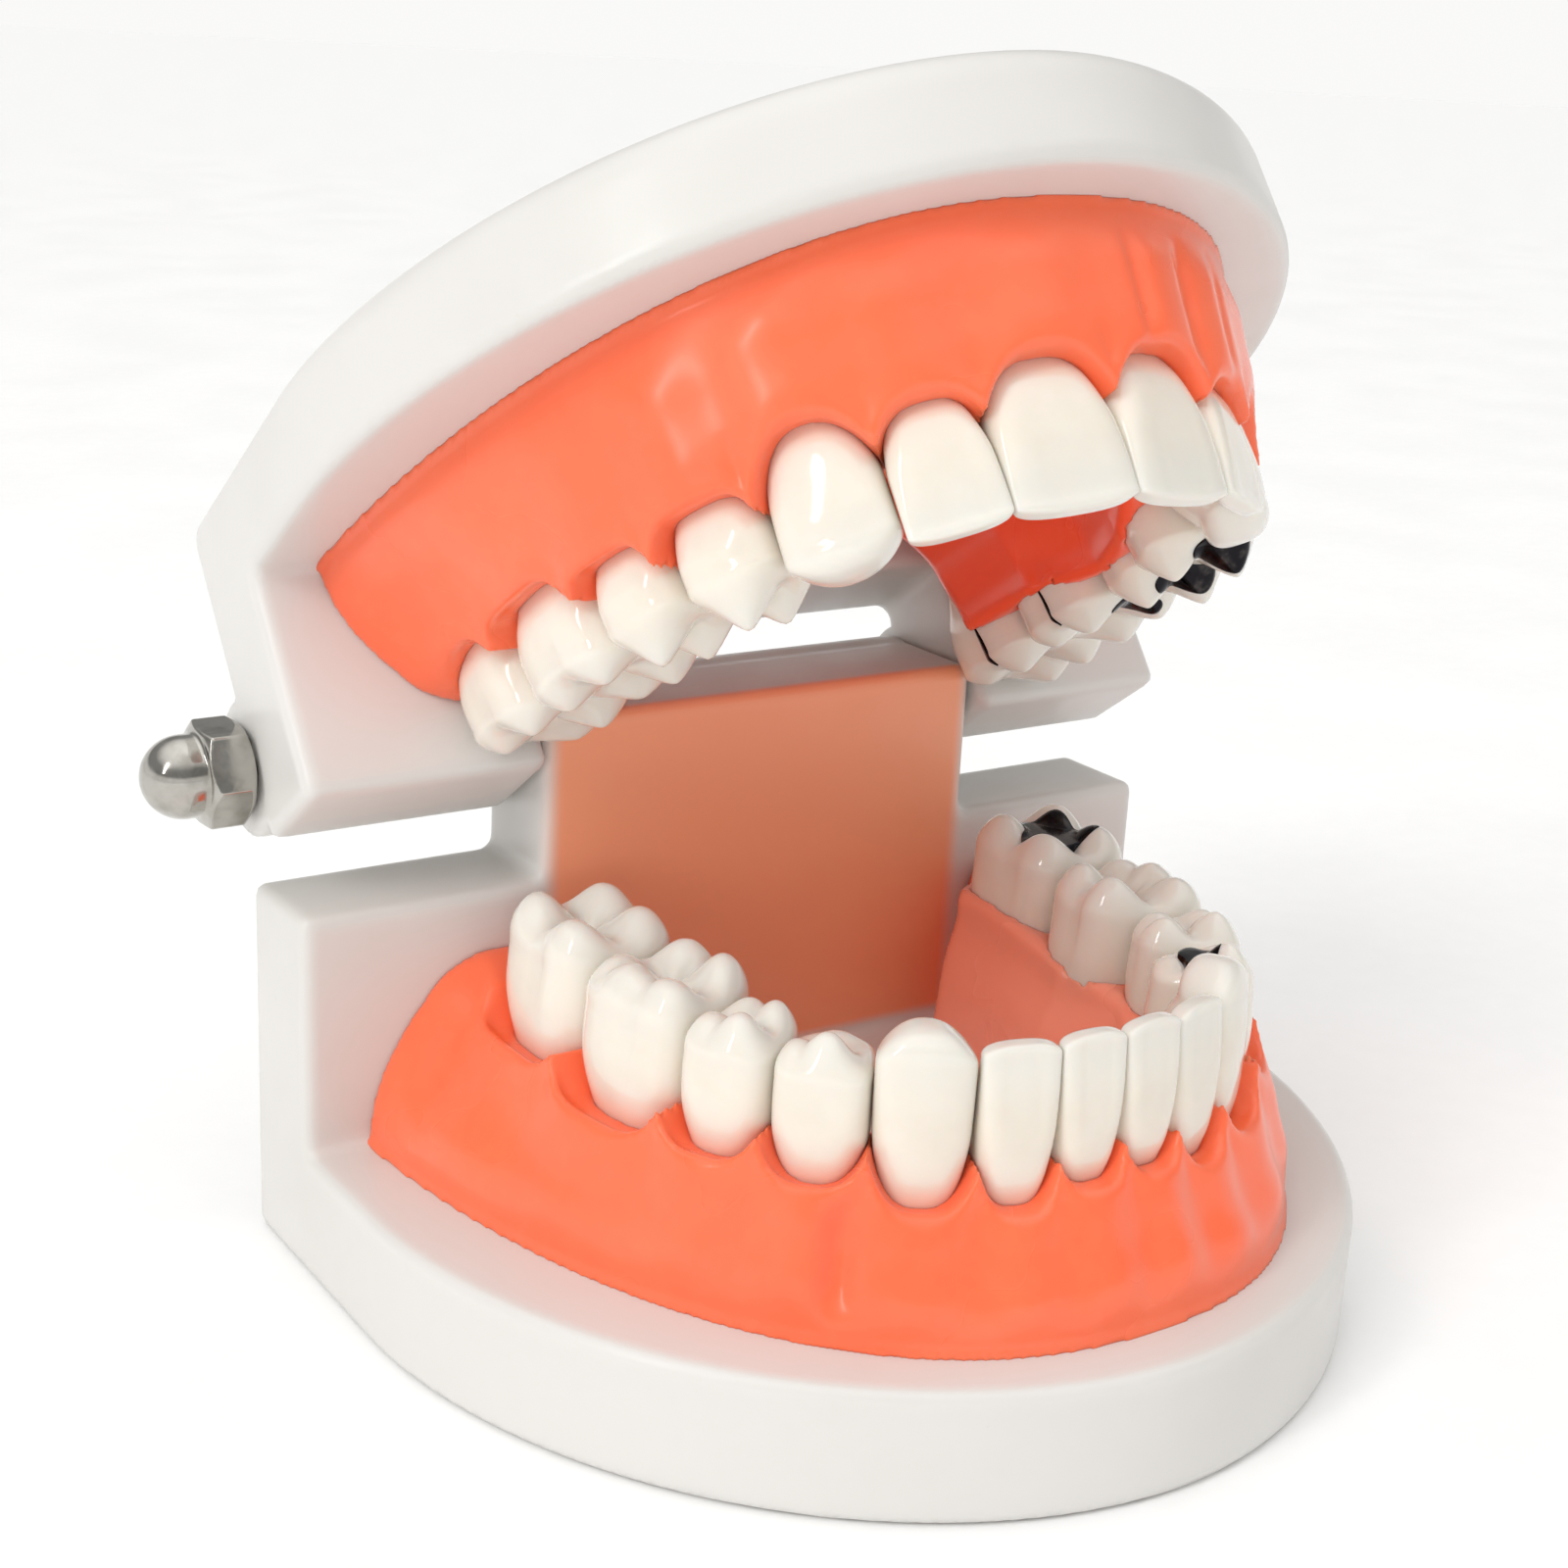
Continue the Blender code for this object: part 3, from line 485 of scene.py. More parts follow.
class Row:
    """One row of teeth: the line along its outer faces on the right, and its heights."""

    def __init__(self, jaw):
        self.jaw = jaw
        self.is_upper = jaw == "upper"
        self.up = -1.0 if self.is_upper else 1.0
        self.widths, self.depths = np.array(SIZES[jaw]).T
        self.plate_z = PLATE_FACES[jaw]
        half_width, depth, exponent, shoulder_y = ARCHES[jaw]
        angle = np.linspace(math.pi / 2, 0.0, 1200)
        x = -half_width * np.cos(angle) ** (2 / exponent)
        y = shoulder_y - depth * np.sin(angle) ** (2 / exponent)
        x[0] = 0.0
        tail = np.arange(shoulder_y + 0.1, REAR_Y, 0.1)
        x = np.concatenate([x, np.full(len(tail), -half_width)])
        y = np.concatenate([y, tail])
        reach = np.concatenate([[0.0], np.cumsum(np.hypot(np.diff(x), np.diff(y)))])
        self.reach = np.arange(0.0, reach[-1], 0.1)
        self.line = np.stack([np.interp(self.reach, reach, x), np.interp(self.reach, reach, y)], axis=1)
        ahead = np.gradient(self.line, axis=0)
        ahead[0] = (-1.0, 0.0)
        ahead /= np.linalg.norm(ahead, axis=1)[:, None]
        self.inwards = np.stack([ahead[:, 1], -ahead[:, 0]], axis=1)
        self.starts = np.concatenate([[0.0], np.cumsum(self.widths)])
        self.middles = (self.starts[:-1] + self.starts[1:]) / 2
        self.wall_reach = float(np.interp(WALL_FRONT - GAP, self.line[:, 1], self.reach))

    def read(self, table, distance):
        return np.stack([np.interp(distance, self.reach, table[:, k]) for k in (0, 1)], axis=-1)

    def height(self, level, index):
        base, slope, steps = level
        y = self.read(self.line, self.middles[index])[1]
        return base + steps[index] + slope * (y - FRONT_Y)

    def ends(self, index):
        """The line's point and its inward direction, where a tooth starts and where it stops."""
        starts = self.starts[index : index + 2]
        return [(self.read(self.line, start), self.read(self.inwards, start)) for start in starts]

    def place(self, index, across, inwards):
        """The plan point at across (-1 at the front, 1 at the rear) and inwards of the line."""
        (first, first_in), (last, last_in) = self.ends(index)
        share = ((1.0 + across) / 2)[..., None]
        inwards = inwards[..., None]
        return (first + first_in * inwards) * (1.0 - share) + (last + last_in * inwards) * share

    def unplace(self, index, x, y):
        """The reverse of place(), and the millimetres that one unit across is."""
        (first, first_in), (last, last_in) = self.ends(index)
        chord, fan = last - first, last_in - first_in
        away_x, away_y = x - first[0], y - first[1]
        inwards = np.zeros_like(x)
        for _ in range(UNPLACE_ROUNDS):
            wide_x, wide_y = chord[0] + fan[0] * inwards, chord[1] + fan[1] * inwards
            inwards = (away_x * wide_y - away_y * wide_x) / (first_in[0] * wide_y - first_in[1] * wide_x)
            inwards = np.clip(inwards, *UNPLACE_RANGE)
        square = wide_x**2 + wide_y**2
        along = (away_x - first_in[0] * inwards) * wide_x + (away_y - first_in[1] * inwards) * wide_y
        return 2.0 * along / square - 1.0, inwards, np.sqrt(square) / 2


class Tooth:
    """One crown; side is 1 on the patient's right and -1 on the left."""

    def __init__(self, row, index, side):
        self.row, self.index, self.side = row, index, side
        self.kind = TOOTH_NAMES[index].split("_")[-1]
        hand = "right" if side > 0 else "left"
        self.name = f"{row.jaw}_{hand}_{TOOTH_NAMES[index]}"
        self.depth = row.depths[index]
        self.width = row.widths[index]
        self.margin = row.height(MARGINS[row.jaw], index)
        self.crown = row.height(BITES[row.jaw], index) - self.margin
        self.height = abs(self.crown)
        table = np.array(SECTIONS.get(self.kind) or SECTIONS[f"{row.jaw}_{self.kind}"])
        self.knots, self.values = table[:, 0], table[:, 1:]
        self.rim = self.knots[-1]
        self.neck = NECKS[row.jaw][index]
        self.fit = 1.0 - CONTACT_GAP / self.width

    def section(self, level):
        """Width, outer face, inner face and squareness at each height."""
        level = np.atleast_1d(level)
        full = FULL_LEVELS[self.kind]
        narrowing = np.clip((full - level) / full, 0.0, MOST_NARROWING) ** NARROWING
        width = 1.0 - (1.0 - self.neck) * narrowing
        return np.column_stack([width, cubic(self.knots, self.values, level)])

    def wall(self, angle, level):
        """Across, inwards and level of the wall at this angle and height."""
        width, outer, inner, square = self.section(level).T
        across = width * self.fit * squared_off(np.cos(angle), square)
        deep = squared_off(np.sin(angle), square)
        inwards = ((outer + inner) / 2 - (inner - outer) / 2 * deep) * self.depth
        inwards = inwards + self.relief(across, deep, level)
        return across, inwards, level

    def relief(self, across, deep, level):
        """Shallow vertical hollows in the outer face."""
        outer_face = unit(deep) ** 2
        high = unit((level - HOLLOW_FOOT) / HOLLOW_FADE)
        if self.kind == "incisor":
            hollows = bell(across + INCISOR_HOLLOW, 0.15) + bell(across - INCISOR_HOLLOW, 0.15)
            return 0.07 * hollows * outer_face * high
        if self.kind == "molar":
            inner_face = unit(-deep) ** 2
            dip = bell(across - MOLAR_GROOVES[self.row.jaw], 0.16) * high
            return 0.28 * dip * outer_face - 0.3 * dip * inner_face
        return -0.16 * bell(across + 0.04, 0.34) * outer_face * high

    def relative_height(self, a, b, grooved=True):
        """How high the biting surface stands over the rim, as a share, at unit-square places."""
        if self.kind == "incisor":
            return 1.0 - 0.24 * np.abs(a) ** 2.2
        if self.kind == "canine":
            return 1.0 - 0.5 * np.abs(a - 0.04) ** 2.0
        table, spread, point = CUSP_SHAPES[self.row.jaw][self.kind]
        height = np.full_like(a, table)
        for cusp_a, cusp_b, cusp_height in CUSPS[f"{self.row.jaw}_{TOOTH_NAMES[self.index]}"]:
            away = np.hypot(a - cusp_a, (b - cusp_b) * 1.1) / spread
            bump = table + (cusp_height - table) * np.exp(-(away**point))
            height = -blended(-height, -bump, 0.08)
        height = height + 0.1 * unit((np.abs(a) - 0.5) / 0.3) * bell(b, 0.5)
        if not grooved:
            return height
        wave = 0.05 * np.sin(6.0 * a + self.index)
        height = height - 0.12 * (crease(b - wave, 0.07) * unit(1.25 - np.abs(a) * 1.5))
        if self.kind == "molar":
            bend = 0.06 * np.sin(5.0 * b)
            height = height - 0.1 * (crease(a - 0.02 - bend, 0.06) * unit(1.4 - np.abs(b) * 1.3))
        return height

    def cap(self, a, b, grooved=True):
        """Across, inwards and level of the biting surface at unit-square places."""
        width, outer, inner, square = self.section(self.rim)[0]
        tip, curve = TIPS[self.kind]
        reach = unit((np.abs(a) ** square + np.abs(b) ** square) ** (1 / square))
        closing = (1.0 - reach**curve) ** (1 / curve)
        middle = (outer + inner) / 2
        drift = (tip - middle) * (1.0 - reach)
        across = width * self.fit * a
        inwards = (middle + drift + (inner - outer) / 2 * b) * self.depth
        edge = self.relief(across, -b, np.full_like(a, self.rim)) * reach**3
        level = self.rim + (1.0 - self.rim) * self.relative_height(a, b, grooved) * closing
        return across, inwards + edge, level

    def points(self, across, inwards, level):
        plan = self.row.place(self.index, across, inwards)
        z = self.margin + self.crown * level
        closed = np.stack([self.side * plan[..., 0], plan[..., 1], z], axis=-1)
        return opened(closed, self.row.is_upper)

    def make(self, material):
        angles = np.arange(AROUND) * math.tau / AROUND
        levels = np.linspace(self.knots[0], self.rim, WALL_LEVELS)
        places = [self.wall(angles, np.full(AROUND, level)) for level in levels]
        square = self.section(self.rim)[0][3]
        a, b = squared_off(np.cos(angles), square), -squared_off(np.sin(angles), square)
        for step in range(1, CAP_LEVELS):
            share = math.cos(math.pi / 2 * step / CAP_LEVELS) ** CAP_CROWDING
            places.append(self.cap(a * share, b * share))
        rings = [self.points(*place) for place in places]
        top = self.cap(np.zeros(1), np.zeros(1))
        points = np.concatenate(rings + [rings[0].mean(axis=0)[None], self.points(*top)])
        heights = np.concatenate([place[2] for place in places] + [levels[:1], top[2]])
        item = new_object(f"{self.name}_crown", points, ring_faces(len(rings), AROUND))
        paint(item, "level", heights)
        hand_over(item, material, self.row.jaw, "tooth_plastic", self.name)

    def make_filling(self, metal):
        """A polished inlay that bridges the grooves of the biting surface and stands a little proud."""
        centre_a, centre_b, half_a, half_b, wave, fill = FILLINGS[self.name]
        fill = self.rim + (1.0 - self.rim) * fill
        proud = INLAY_PROUD / self.height
        angle = np.arange(INLAY_AROUND) * math.tau / INLAY_AROUND
        outline = 1.0 + wave * np.cos(3 * angle + 0.6 + self.index) + 0.5 * wave * np.sin(5 * angle)
        rings = []
        for ring in range(INLAY_RINGS):
            share = (ring + 1) / INLAY_RINGS
            a = centre_a + half_a * outline * share * np.cos(angle)
            b = centre_b + half_b * outline * share * np.sin(angle)
            across, inwards, level = self.cap(a, b, grooved=False)
            lift = (INLAY_PROUD - INLAY_EDGE_DROP * share**4) / self.height
            rings.append(self.points(across, inwards, np.maximum(level, fill) + lift))
        rings.append(self.points(across, inwards, self.cap(a, b)[2] - INLAY_DEPTH / self.height))
        across, inwards, level = self.cap(np.array([centre_a]), np.array([centre_b]), grooved=False)
        top = self.points(across, inwards, np.maximum(level, fill) + proud)
        bottom = rings[-1].mean(axis=0)[None]
        points = np.concatenate(rings[::-1] + [bottom, top])
        item = new_object(f"{self.name}_inlay", points, ring_faces(len(rings), INLAY_AROUND))
        hand_over(item, metal, self.row.jaw, "polished_amalgam", f"{self.name}_filling")

    def make_stain(self, metal):
        """A thin dark line down the groove between the two tongue-side cusps."""
        groove, drop = STAINS[self.name]
        over = self.cap(np.full(STAIN_STEPS, groove), np.linspace(0.86, 0.985, STAIN_STEPS))
        square = self.section(self.rim)[0][3]
        turn = -math.acos(math.copysign(abs(groove) ** (square / 2), groove))
        down = self.wall(np.full(STAIN_STEPS, turn), self.rim - np.linspace(0.02, drop, STAIN_STEPS))
        across, inwards, level = (np.concatenate(pair) for pair in zip(over, down))
        taper = np.sin(np.linspace(0.12, math.pi - 0.12, len(level))) ** 0.6
        half = STAIN_HALF_WIDTH * taper / (self.width / 2)
        edge = inwards - STAIN_SINK * 0.4
        rows = (
            (across - half, edge, level),
            (across, inwards + STAIN_PROUD, level + STAIN_PROUD / self.height),
            (across + half, edge, level),
            (across, inwards - 4 * STAIN_SINK, level - 2 * STAIN_SINK / self.height),
        )
        strips = np.stack([self.points(*row) for row in rows], axis=1)
        ends = np.stack([strips[0].mean(axis=0), strips[-1].mean(axis=0)])
        points = np.concatenate([strips.reshape(-1, 3), ends])
        item = new_object(f"{self.name}_groove_stain", points, ring_faces(len(level), len(rows)))
        hand_over(item, metal, self.row.jaw, "polished_amalgam")


def ring_faces(rings, count):
    """Quads between stacked rings, and fans (as folded quads) to the two end points after them."""
    j = np.arange(count)
    k = (j + 1) % count
    faces = []
    for start in range(0, (rings - 1) * count, count):
        above = start + count
        faces.append(np.stack([start + j, start + k, above + k, above + j], axis=1))
    first, last, top = rings * count, rings * count + 1, (rings - 1) * count
    even = np.arange(0, count, 2)
    after = (even + 2) % count
    faces.append(np.stack([after, even + 1, even, np.full(len(even), first)], axis=1))
    faces.append(np.stack([top + even, top + even + 1, top + after, np.full(len(even), last)], axis=1))
    return np.concatenate(faces)


# ---- gums

# Heights up the gum's outer face (1 at the line of the necks) and how far it has leant in by then.
FREE_LEAN = ((0.0, 0.0), (0.2, 0.03), (0.4, 0.24), (0.6, 0.58), (0.83, 0.87), (1.0, 1.0), (1.3, 1.08))
WALL_LEAN = ((0.0, 0.0), (0.22, 0.035), (0.48, 0.19), (0.74, 0.465), (0.93, 0.767), (1.0, 1.0), (1.3, 1.3))
# The same up the inner face, as millimetres inwards of the teeth (free) or of the pad's lip (wall).
FREE_INNER = ((0.0, 2.6), (0.4, 2.2), (0.74, 1.75), (0.95, 1.1), (1.0, 0.95), (1.3, 0.8))
WALL_INNER = ((0.0, 1.2), (0.4, 0.5), (0.7, -0.2), (0.93, -0.9), (1.0, -1.2), (1.3, -1.4))
LIPS = {"lower": (0.9, 0.9, 1.1, 1.2, 1.3, 1.5, 1.6), "upper": (0.9, 0.9, 1.1, 1.2, 1.2, 1.3, 1.4)}
PAPILLA_RISES = {"lower": (2.2, 2.4, 3.4, 2.8, 2.4, 2.6, 2.4), "upper": (2.8, 1.8, 3.4, 2.6, 2.2, 2.0, 1.8)}
PAPILLA_RECESS = 0.45
RECESS_FROM, RECESS_FADE = 0.72, 0.35
MOST_SCALLOP_POWER = 5.5
# The swelling over each root: where up the face it starts and stops, and how it fades along the row.
SWELL_FROM, SWELL_TO, SWELL_FADE = 0.12, 1.05, 0.3
EMINENCE_START, EMINENCE_REACH, LEAST_EMINENCE = 1.3, 60.0, 0.4
# Where the tongue side starts, as a share of the teeth's depth.
INNER_FROM = 0.45
INNER_RISES = {"lower": (0.3, 0.3, 0.3, 0.8, 1.8, 3.0, 3.6), "upper": (1.2, 1.4, 1.8, 2.6, 3.0, 3.0, 2.6)}
ROLL_HEIGHTS = {"lower": (0.0, 0.0, 0.25, 0.5, 0.6, 0.65, 0.7), "upper": (0.0, 0.0, 0.1, 0.15, 0.2, 0.2, 0.2)}
ROLL_PLACE, ROLL_WIDTH = 0.85, 0.55
VAULT = {"lower": 0.0, "upper": 4.0}
# The flare at the plate, how far the gum goes into it, and the edge radii.
FOOT_FLARE, FOOT_HEIGHT = 0.35, 0.45
SUNK = 0.05
FAR_FROM_TOOTH = 6.0
CREST_EDGE, INNER_EDGE, PLATE_EDGE, REAR_EDGE, SOCKET_EDGE = 0.45, 0.8, 0.02, 0.15, 0.15
# Below zero, so that the gum runs a little into the crowns and no dark seam shows.
SOCKET_GAP = -0.06
# Each gum: its height at the rear wall, its inner edge there, the swelling over the roots, and folds as
# (side, place along the row, depth, width).
GUMS = {
    "lower": (22.4, 6.0, 0.5, ((1, 18.6, 1.0, 1.0),)),
    "upper": (34.2, 6.8, 0.4, ((-1, 8.5, 0.5, 0.7), (-1, 13.0, 0.5, 0.9), (-1, 3.5, 0.35, 0.6))),
}


def profile(table, at):
    knots, values = np.array(table).T
    fine = np.linspace(knots[0], knots[-1], 200)
    return np.interp(at, fine, cubic(knots, values[:, None], fine)[:, 0])


class Gum:
    """The distance field of one gum, on the patient's right; side only changes where the folds are."""

    def __init__(self, row):
        self.row = row
        self.teeth = [Tooth(row, index, 1) for index in range(len(TOOTH_NAMES))]
        wall_crest, self.wall_lip, self.eminence, self.folds = GUMS[row.jaw]
        self.wall_height = row.up * (wall_crest - row.plate_z)

    def arch_place(self, x, y):
        """Distance along the row and inwards of its line, for each plan point."""
        shape = x.shape
        plan = np.stack([x.ravel(), y.ravel()], axis=1)
        nearest = np.empty(len(plan), int)
        for start in range(0, len(plan), 4000):
            part = plan[start : start + 4000]
            away = ((part[:, None, :] - self.row.line[None]) ** 2).sum(axis=2)
            nearest[start : start + 4000] = away.argmin(axis=1)
        ahead = np.stack([-self.row.inwards[nearest, 1], self.row.inwards[nearest, 0]], axis=1)
        offset = plan - self.row.line[nearest]
        along = self.row.reach[nearest] + (offset * ahead).sum(axis=1)
        inwards = (offset * self.row.inwards[nearest]).sum(axis=1)
        return along.reshape(shape), inwards.reshape(shape)

    def crests(self, along):
        """Along the row: the height of the gum's edge, its unscalloped height, lip, depth and phase."""
        row = self.row
        last = len(row.widths) - 1
        margins = np.array([row.up * (tooth.margin - row.plate_z) for tooth in self.teeth])
        index = np.clip(np.searchsorted(row.starts, along, side="right") - 1, 0, last)
        phase = np.clip((along - row.middles[index]) / (row.widths[index] / 2), -1.0, 1.0)
        rises = np.array(PAPILLA_RISES[row.jaw])
        neighbour = np.clip(np.where(phase > 0, index + 1, index - 1), 0, last)
        tip = (margins[index] + margins[neighbour]) / 2 + (rises[index] + rises[neighbour]) / 2
        # The edge is half way up the papilla where the neck ends.
        power = np.minimum(math.log(0.5) / np.log(NECKS[row.jaw]), MOST_SCALLOP_POWER)
        scalloped = margins[index] + (tip - margins[index]) * np.abs(phase) ** power[index]
        plain = np.interp(along, row.middles, margins) + 0.6
        lip = np.interp(along, row.middles, LIPS[row.jaw])
        depth = np.interp(along, row.middles, row.depths)
        return scalloped, plain, lip, depth, phase

    def field(self, x, y, z, side):
        row = self.row
        x, y = np.broadcast_arrays(x, y)
        along, inwards = self.arch_place(x, y)
        scalloped, plain, lip, depth, phase = self.crests(along)
        roll = np.interp(along, row.middles, ROLL_HEIGHTS[row.jaw])
        roll = roll * bell(inwards + lip * ROLL_PLACE, ROLL_WIDTH)
        inner_share = smooth_step((inwards / depth - INNER_FROM) / (1.0 - INNER_FROM))
        roll += np.interp(along, row.middles, INNER_RISES[row.jaw]) * inner_share
        scalloped = scalloped + (plain - 0.3 - scalloped) * inner_share
        at_wall = smooth_step(1.0 - (row.wall_reach - along) / WALL_BLEND)
        edge = scalloped + (self.wall_height - scalloped) * at_wall
        plain = plain + (self.wall_height - plain) * at_wall
        plan = oval_distance(x, np.minimum(y - GUM_REAR_Y, 0.0), GUM_HALF_WIDTH, GUM_LENGTH, GUM_EXPONENT)
        fading = np.clip(EMINENCE_START - along / EMINENCE_REACH, LEAST_EMINENCE, 1.0)
        bulge = self.eminence * (0.5 + 0.5 * np.cos(math.pi * phase)) * fading
        fold = np.zeros_like(x)
        for fold_side, place, depth_in, width in self.folds:
            if fold_side == side:
                fold += depth_in * bell(along - place, width)
        height = row.up * (z - row.plate_z)
        share = np.clip(height / plain, 0.0, 1.3)
        window = smooth_step((share - SWELL_FROM) / SWELL_FADE) * smooth_step((SWELL_TO - share) / SWELL_FADE)
        swell = (bulge - fold) * window * (1.0 - at_wall)
        high = smooth_step((share - RECESS_FROM) / RECESS_FADE)
        recess = PAPILLA_RECESS * np.abs(phase) ** 3 * high * (1.0 - at_wall)
        foot = FOOT_FLARE * bell(height, FOOT_HEIGHT)
        lean = profile(FREE_LEAN, share)
        free = (1.0 - lean) * plan + lean * (-lip - inwards) - swell + recess - foot
        lean = profile(WALL_LEAN, share)
        wall = (1.0 - lean) * plan + lean * (1.1 - inwards) - foot
        outer = 0.85 * (free + (wall - free) * at_wall)
        free = depth + profile(FREE_INNER, share) + VAULT[row.jaw] * (1.0 - smooth_step(share / 0.7))
        wall = self.wall_lip + profile(WALL_INNER, share)
        inner = inwards - (free + (wall - free) * at_wall)
        crest = edge + roll * (1.0 - at_wall)
        gum = both(outer, 0.9 * (height - crest), CREST_EDGE)
        gum = both(gum, inner, INNER_EDGE)
        gum = both(gum, -SUNK - height, PLATE_EDGE)
        gum = both(gum, y - (WALL_FRONT - SUNK), REAR_EDGE)
        for tooth in self.teeth:
            gum = both(gum, SOCKET_GAP - self.socket(tooth, x, y, z, along), SOCKET_EDGE)
        return gum

    def socket(self, tooth, x, y, z, along):
        """The distance from one tooth, near it."""
        row = self.row
        middle, half = row.middles[tooth.index], tooth.width / 2
        near = np.abs(along - middle) < half + 4.0
        across, inwards, scale = row.unplace(tooth.index, x[near], y[near])
        close = (np.abs(inwards - tooth.depth / 2) < tooth.depth / 2 + 5.0) & (np.abs(across) < 3.5)
        level = np.clip((z.ravel() - tooth.margin) / tooth.crown, -1.0, 1.0)
        width, outer, inner, square = tooth.section(np.clip(level, tooth.knots[0], tooth.rim)).T
        across, inwards, scale = (value[close][:, None] for value in (across, inwards, scale))
        distance = oval_distance(
            across * scale,
            inwards - (outer + inner) / 2 * tooth.depth,
            width * tooth.fit * scale,
            (inner - outer) / 2 * tooth.depth,
            square,
        )
        distance = np.maximum(distance, (tooth.knots[0] - level) * tooth.height)
        result = np.full(x.shape[:2] + (level.size,), FAR_FROM_TOOTH)
        picked = np.zeros(x.shape, bool)
        picked[near] = close
        result[picked[..., 0]] = distance
        return result


def make_gum(gum, material):
    row = gum.row
    reach = math.ceil((GUM_HALF_WIDTH + GRID_MARGIN) / GUM_CELL)
    x = np.arange(-reach, 1) * GUM_CELL
    y = np.arange(GUM_REAR_Y - GUM_LENGTH - GRID_MARGIN, WALL_FRONT + 1.0, GUM_CELL)
    crests = gum.crests(np.linspace(0.0, row.wall_reach, 400))[0]
    heights = np.arange(-0.6, max(crests.max(), gum.wall_height) + 1.8, GUM_CELL)
    z = row.plate_z + row.up * heights
    right, left = (gum.field(x[:, None, None], y[:, None], z, side) for side in (1, -1))
    field = np.concatenate([right, left[-2::-1]]).astype(np.float32)
    points, quads = surface_net(field, (x[0], y[0], heights[0]), GUM_CELL)
    points = relaxed(points, quads, 2)
    points[:, 2] = row.plate_z + row.up * points[:, 2]
    item = new_object(f"{row.jaw}_gum_moulding", opened(points, row.is_upper), quads)
    inwards = gum.arch_place(-np.abs(points[:, 0]), points[:, 1])[1]
    # The share of the gum's inner side, which the material uses for painted light: bounce red on the upper
    # gum, a lit pink on the lower.
    paint(item, "painted_palate_bounce" if row.is_upper else "painted_tongue_side_light", smooth_step((inwards - 6.0) / 3.0))
    hand_over(item, material, row.jaw, "gum_plastic", f"{row.jaw}_gum")


# ---- materials

# Where the painted orange bounce light from the gums on the hinge tab's front face fades in: from its sides,
# its depth, its top and its bottom.
PAINTED_BOUNCE_SIDES = (19.2, 17.4)
PAINTED_BOUNCE_DEPTH = (WALL_FRONT + 1.2, WALL_FRONT + 0.5)
PAINTED_BOUNCE_TOP = (40.2, 38.6)
PAINTED_BOUNCE_BOTTOM = (9.6, 10.6)
MOST_PAINTED_BOUNCE = 0.92


class Surface:
    """A principled material whose colour, roughness and relief come from noise in object space."""

    def __init__(self, name, roughness, **settings):
        self.material = bpy.data.materials.new(name)
        self.material.use_nodes = True
        self.tree = self.material.node_tree
        self.shader = self.tree.nodes["Principled BSDF"]
        self.place = self.add("ShaderNodeTexCoord").outputs["Object"]
        low, high, scale = roughness
        settings["Roughness"] = self.ramp(self.noise(scale, 3.0), 0.35, 0.65, low, high)
        self.feed(self.shader, {name.replace("_", " "): value for name, value in settings.items()})

    def feed(self, node, inputs):
        """Sets a node's inputs, each to a value or to another node's output."""
        for name, value in inputs.items():
            if isinstance(value, bpy.types.NodeSocket):
                self.tree.links.new(value, node.inputs[name])
            else:
                node.inputs[name].default_value = value

    def add(self, kind, inputs=None, **settings):
        node = self.tree.nodes.new(kind)
        for name, value in settings.items():
            setattr(node, name, value)
        self.feed(node, inputs or {})
        return node

    def noise(self, scale, detail):
        inputs = {"Scale": scale, "Detail": detail, "Vector": self.place}
        return self.add("ShaderNodeTexNoise", inputs).outputs["Fac"]

    def ramp(self, value, start, stop, low, high):
        inputs = {"Value": value, "From Min": start, "From Max": stop, "To Min": low, "To Max": high}
        return self.add("ShaderNodeMapRange", inputs, interpolation_type="SMOOTHSTEP").outputs["Result"]

    def patches(self, scale, detail, start, stop, most=1.0):
        """Noise cut to patches, from 0 to most."""
        return self.ramp(self.noise(scale, detail), start, stop, 0.0, most)

    def mix(self, share, first, second):
        colours = ((*value, 1.0) if isinstance(value, tuple) else value for value in (first, second))
        inputs = {"Factor": share} | dict(zip((6, 7), colours))
        return self.add("ShaderNodeMix", inputs, data_type="RGBA").outputs[2]

    def times(self, first, second):
        return self.add("ShaderNodeMath", {0: first, 1: second}, operation="MULTIPLY").outputs["Value"]

    def painted_gum_bounce_on_tab(self):
        """From 0 to 1 over the hinge tab's front face, where orange light bounced from the gums on both sides
        is painted.
        """
        place = self.add("ShaderNodeSeparateXYZ", {"Vector": self.place}).outputs
        across = self.add("ShaderNodeMath", {0: place["X"]}, operation="ABSOLUTE").outputs["Value"]
        sides, deep, top, bottom = (
            self.ramp(value, start * MM, stop * MM, 0.0, most)
            for value, (start, stop), most in (
                (across, PAINTED_BOUNCE_SIDES, 1.0),
                (place["Y"], PAINTED_BOUNCE_DEPTH, 1.0),
                (place["Z"], PAINTED_BOUNCE_TOP, MOST_PAINTED_BOUNCE),
                (place["Z"], PAINTED_BOUNCE_BOTTOM, 1.0),
            )
        )
        return self.times(self.times(sides, deep), self.times(top, bottom))

    def finished(self, colour, *layers):
        """The material, with bumps from (scale, detail, height in millimetres, strength) noises."""
        normal = {}
        for scale, detail, height, strength in layers:
            inputs = {"Strength": strength, "Distance": height * MM, "Height": self.noise(scale, detail)}
            normal = {"Normal": self.add("ShaderNodeBump", inputs | normal).outputs["Normal"]}
        self.feed(self.shader, {"Base Color": colour} | normal)
        return self.material


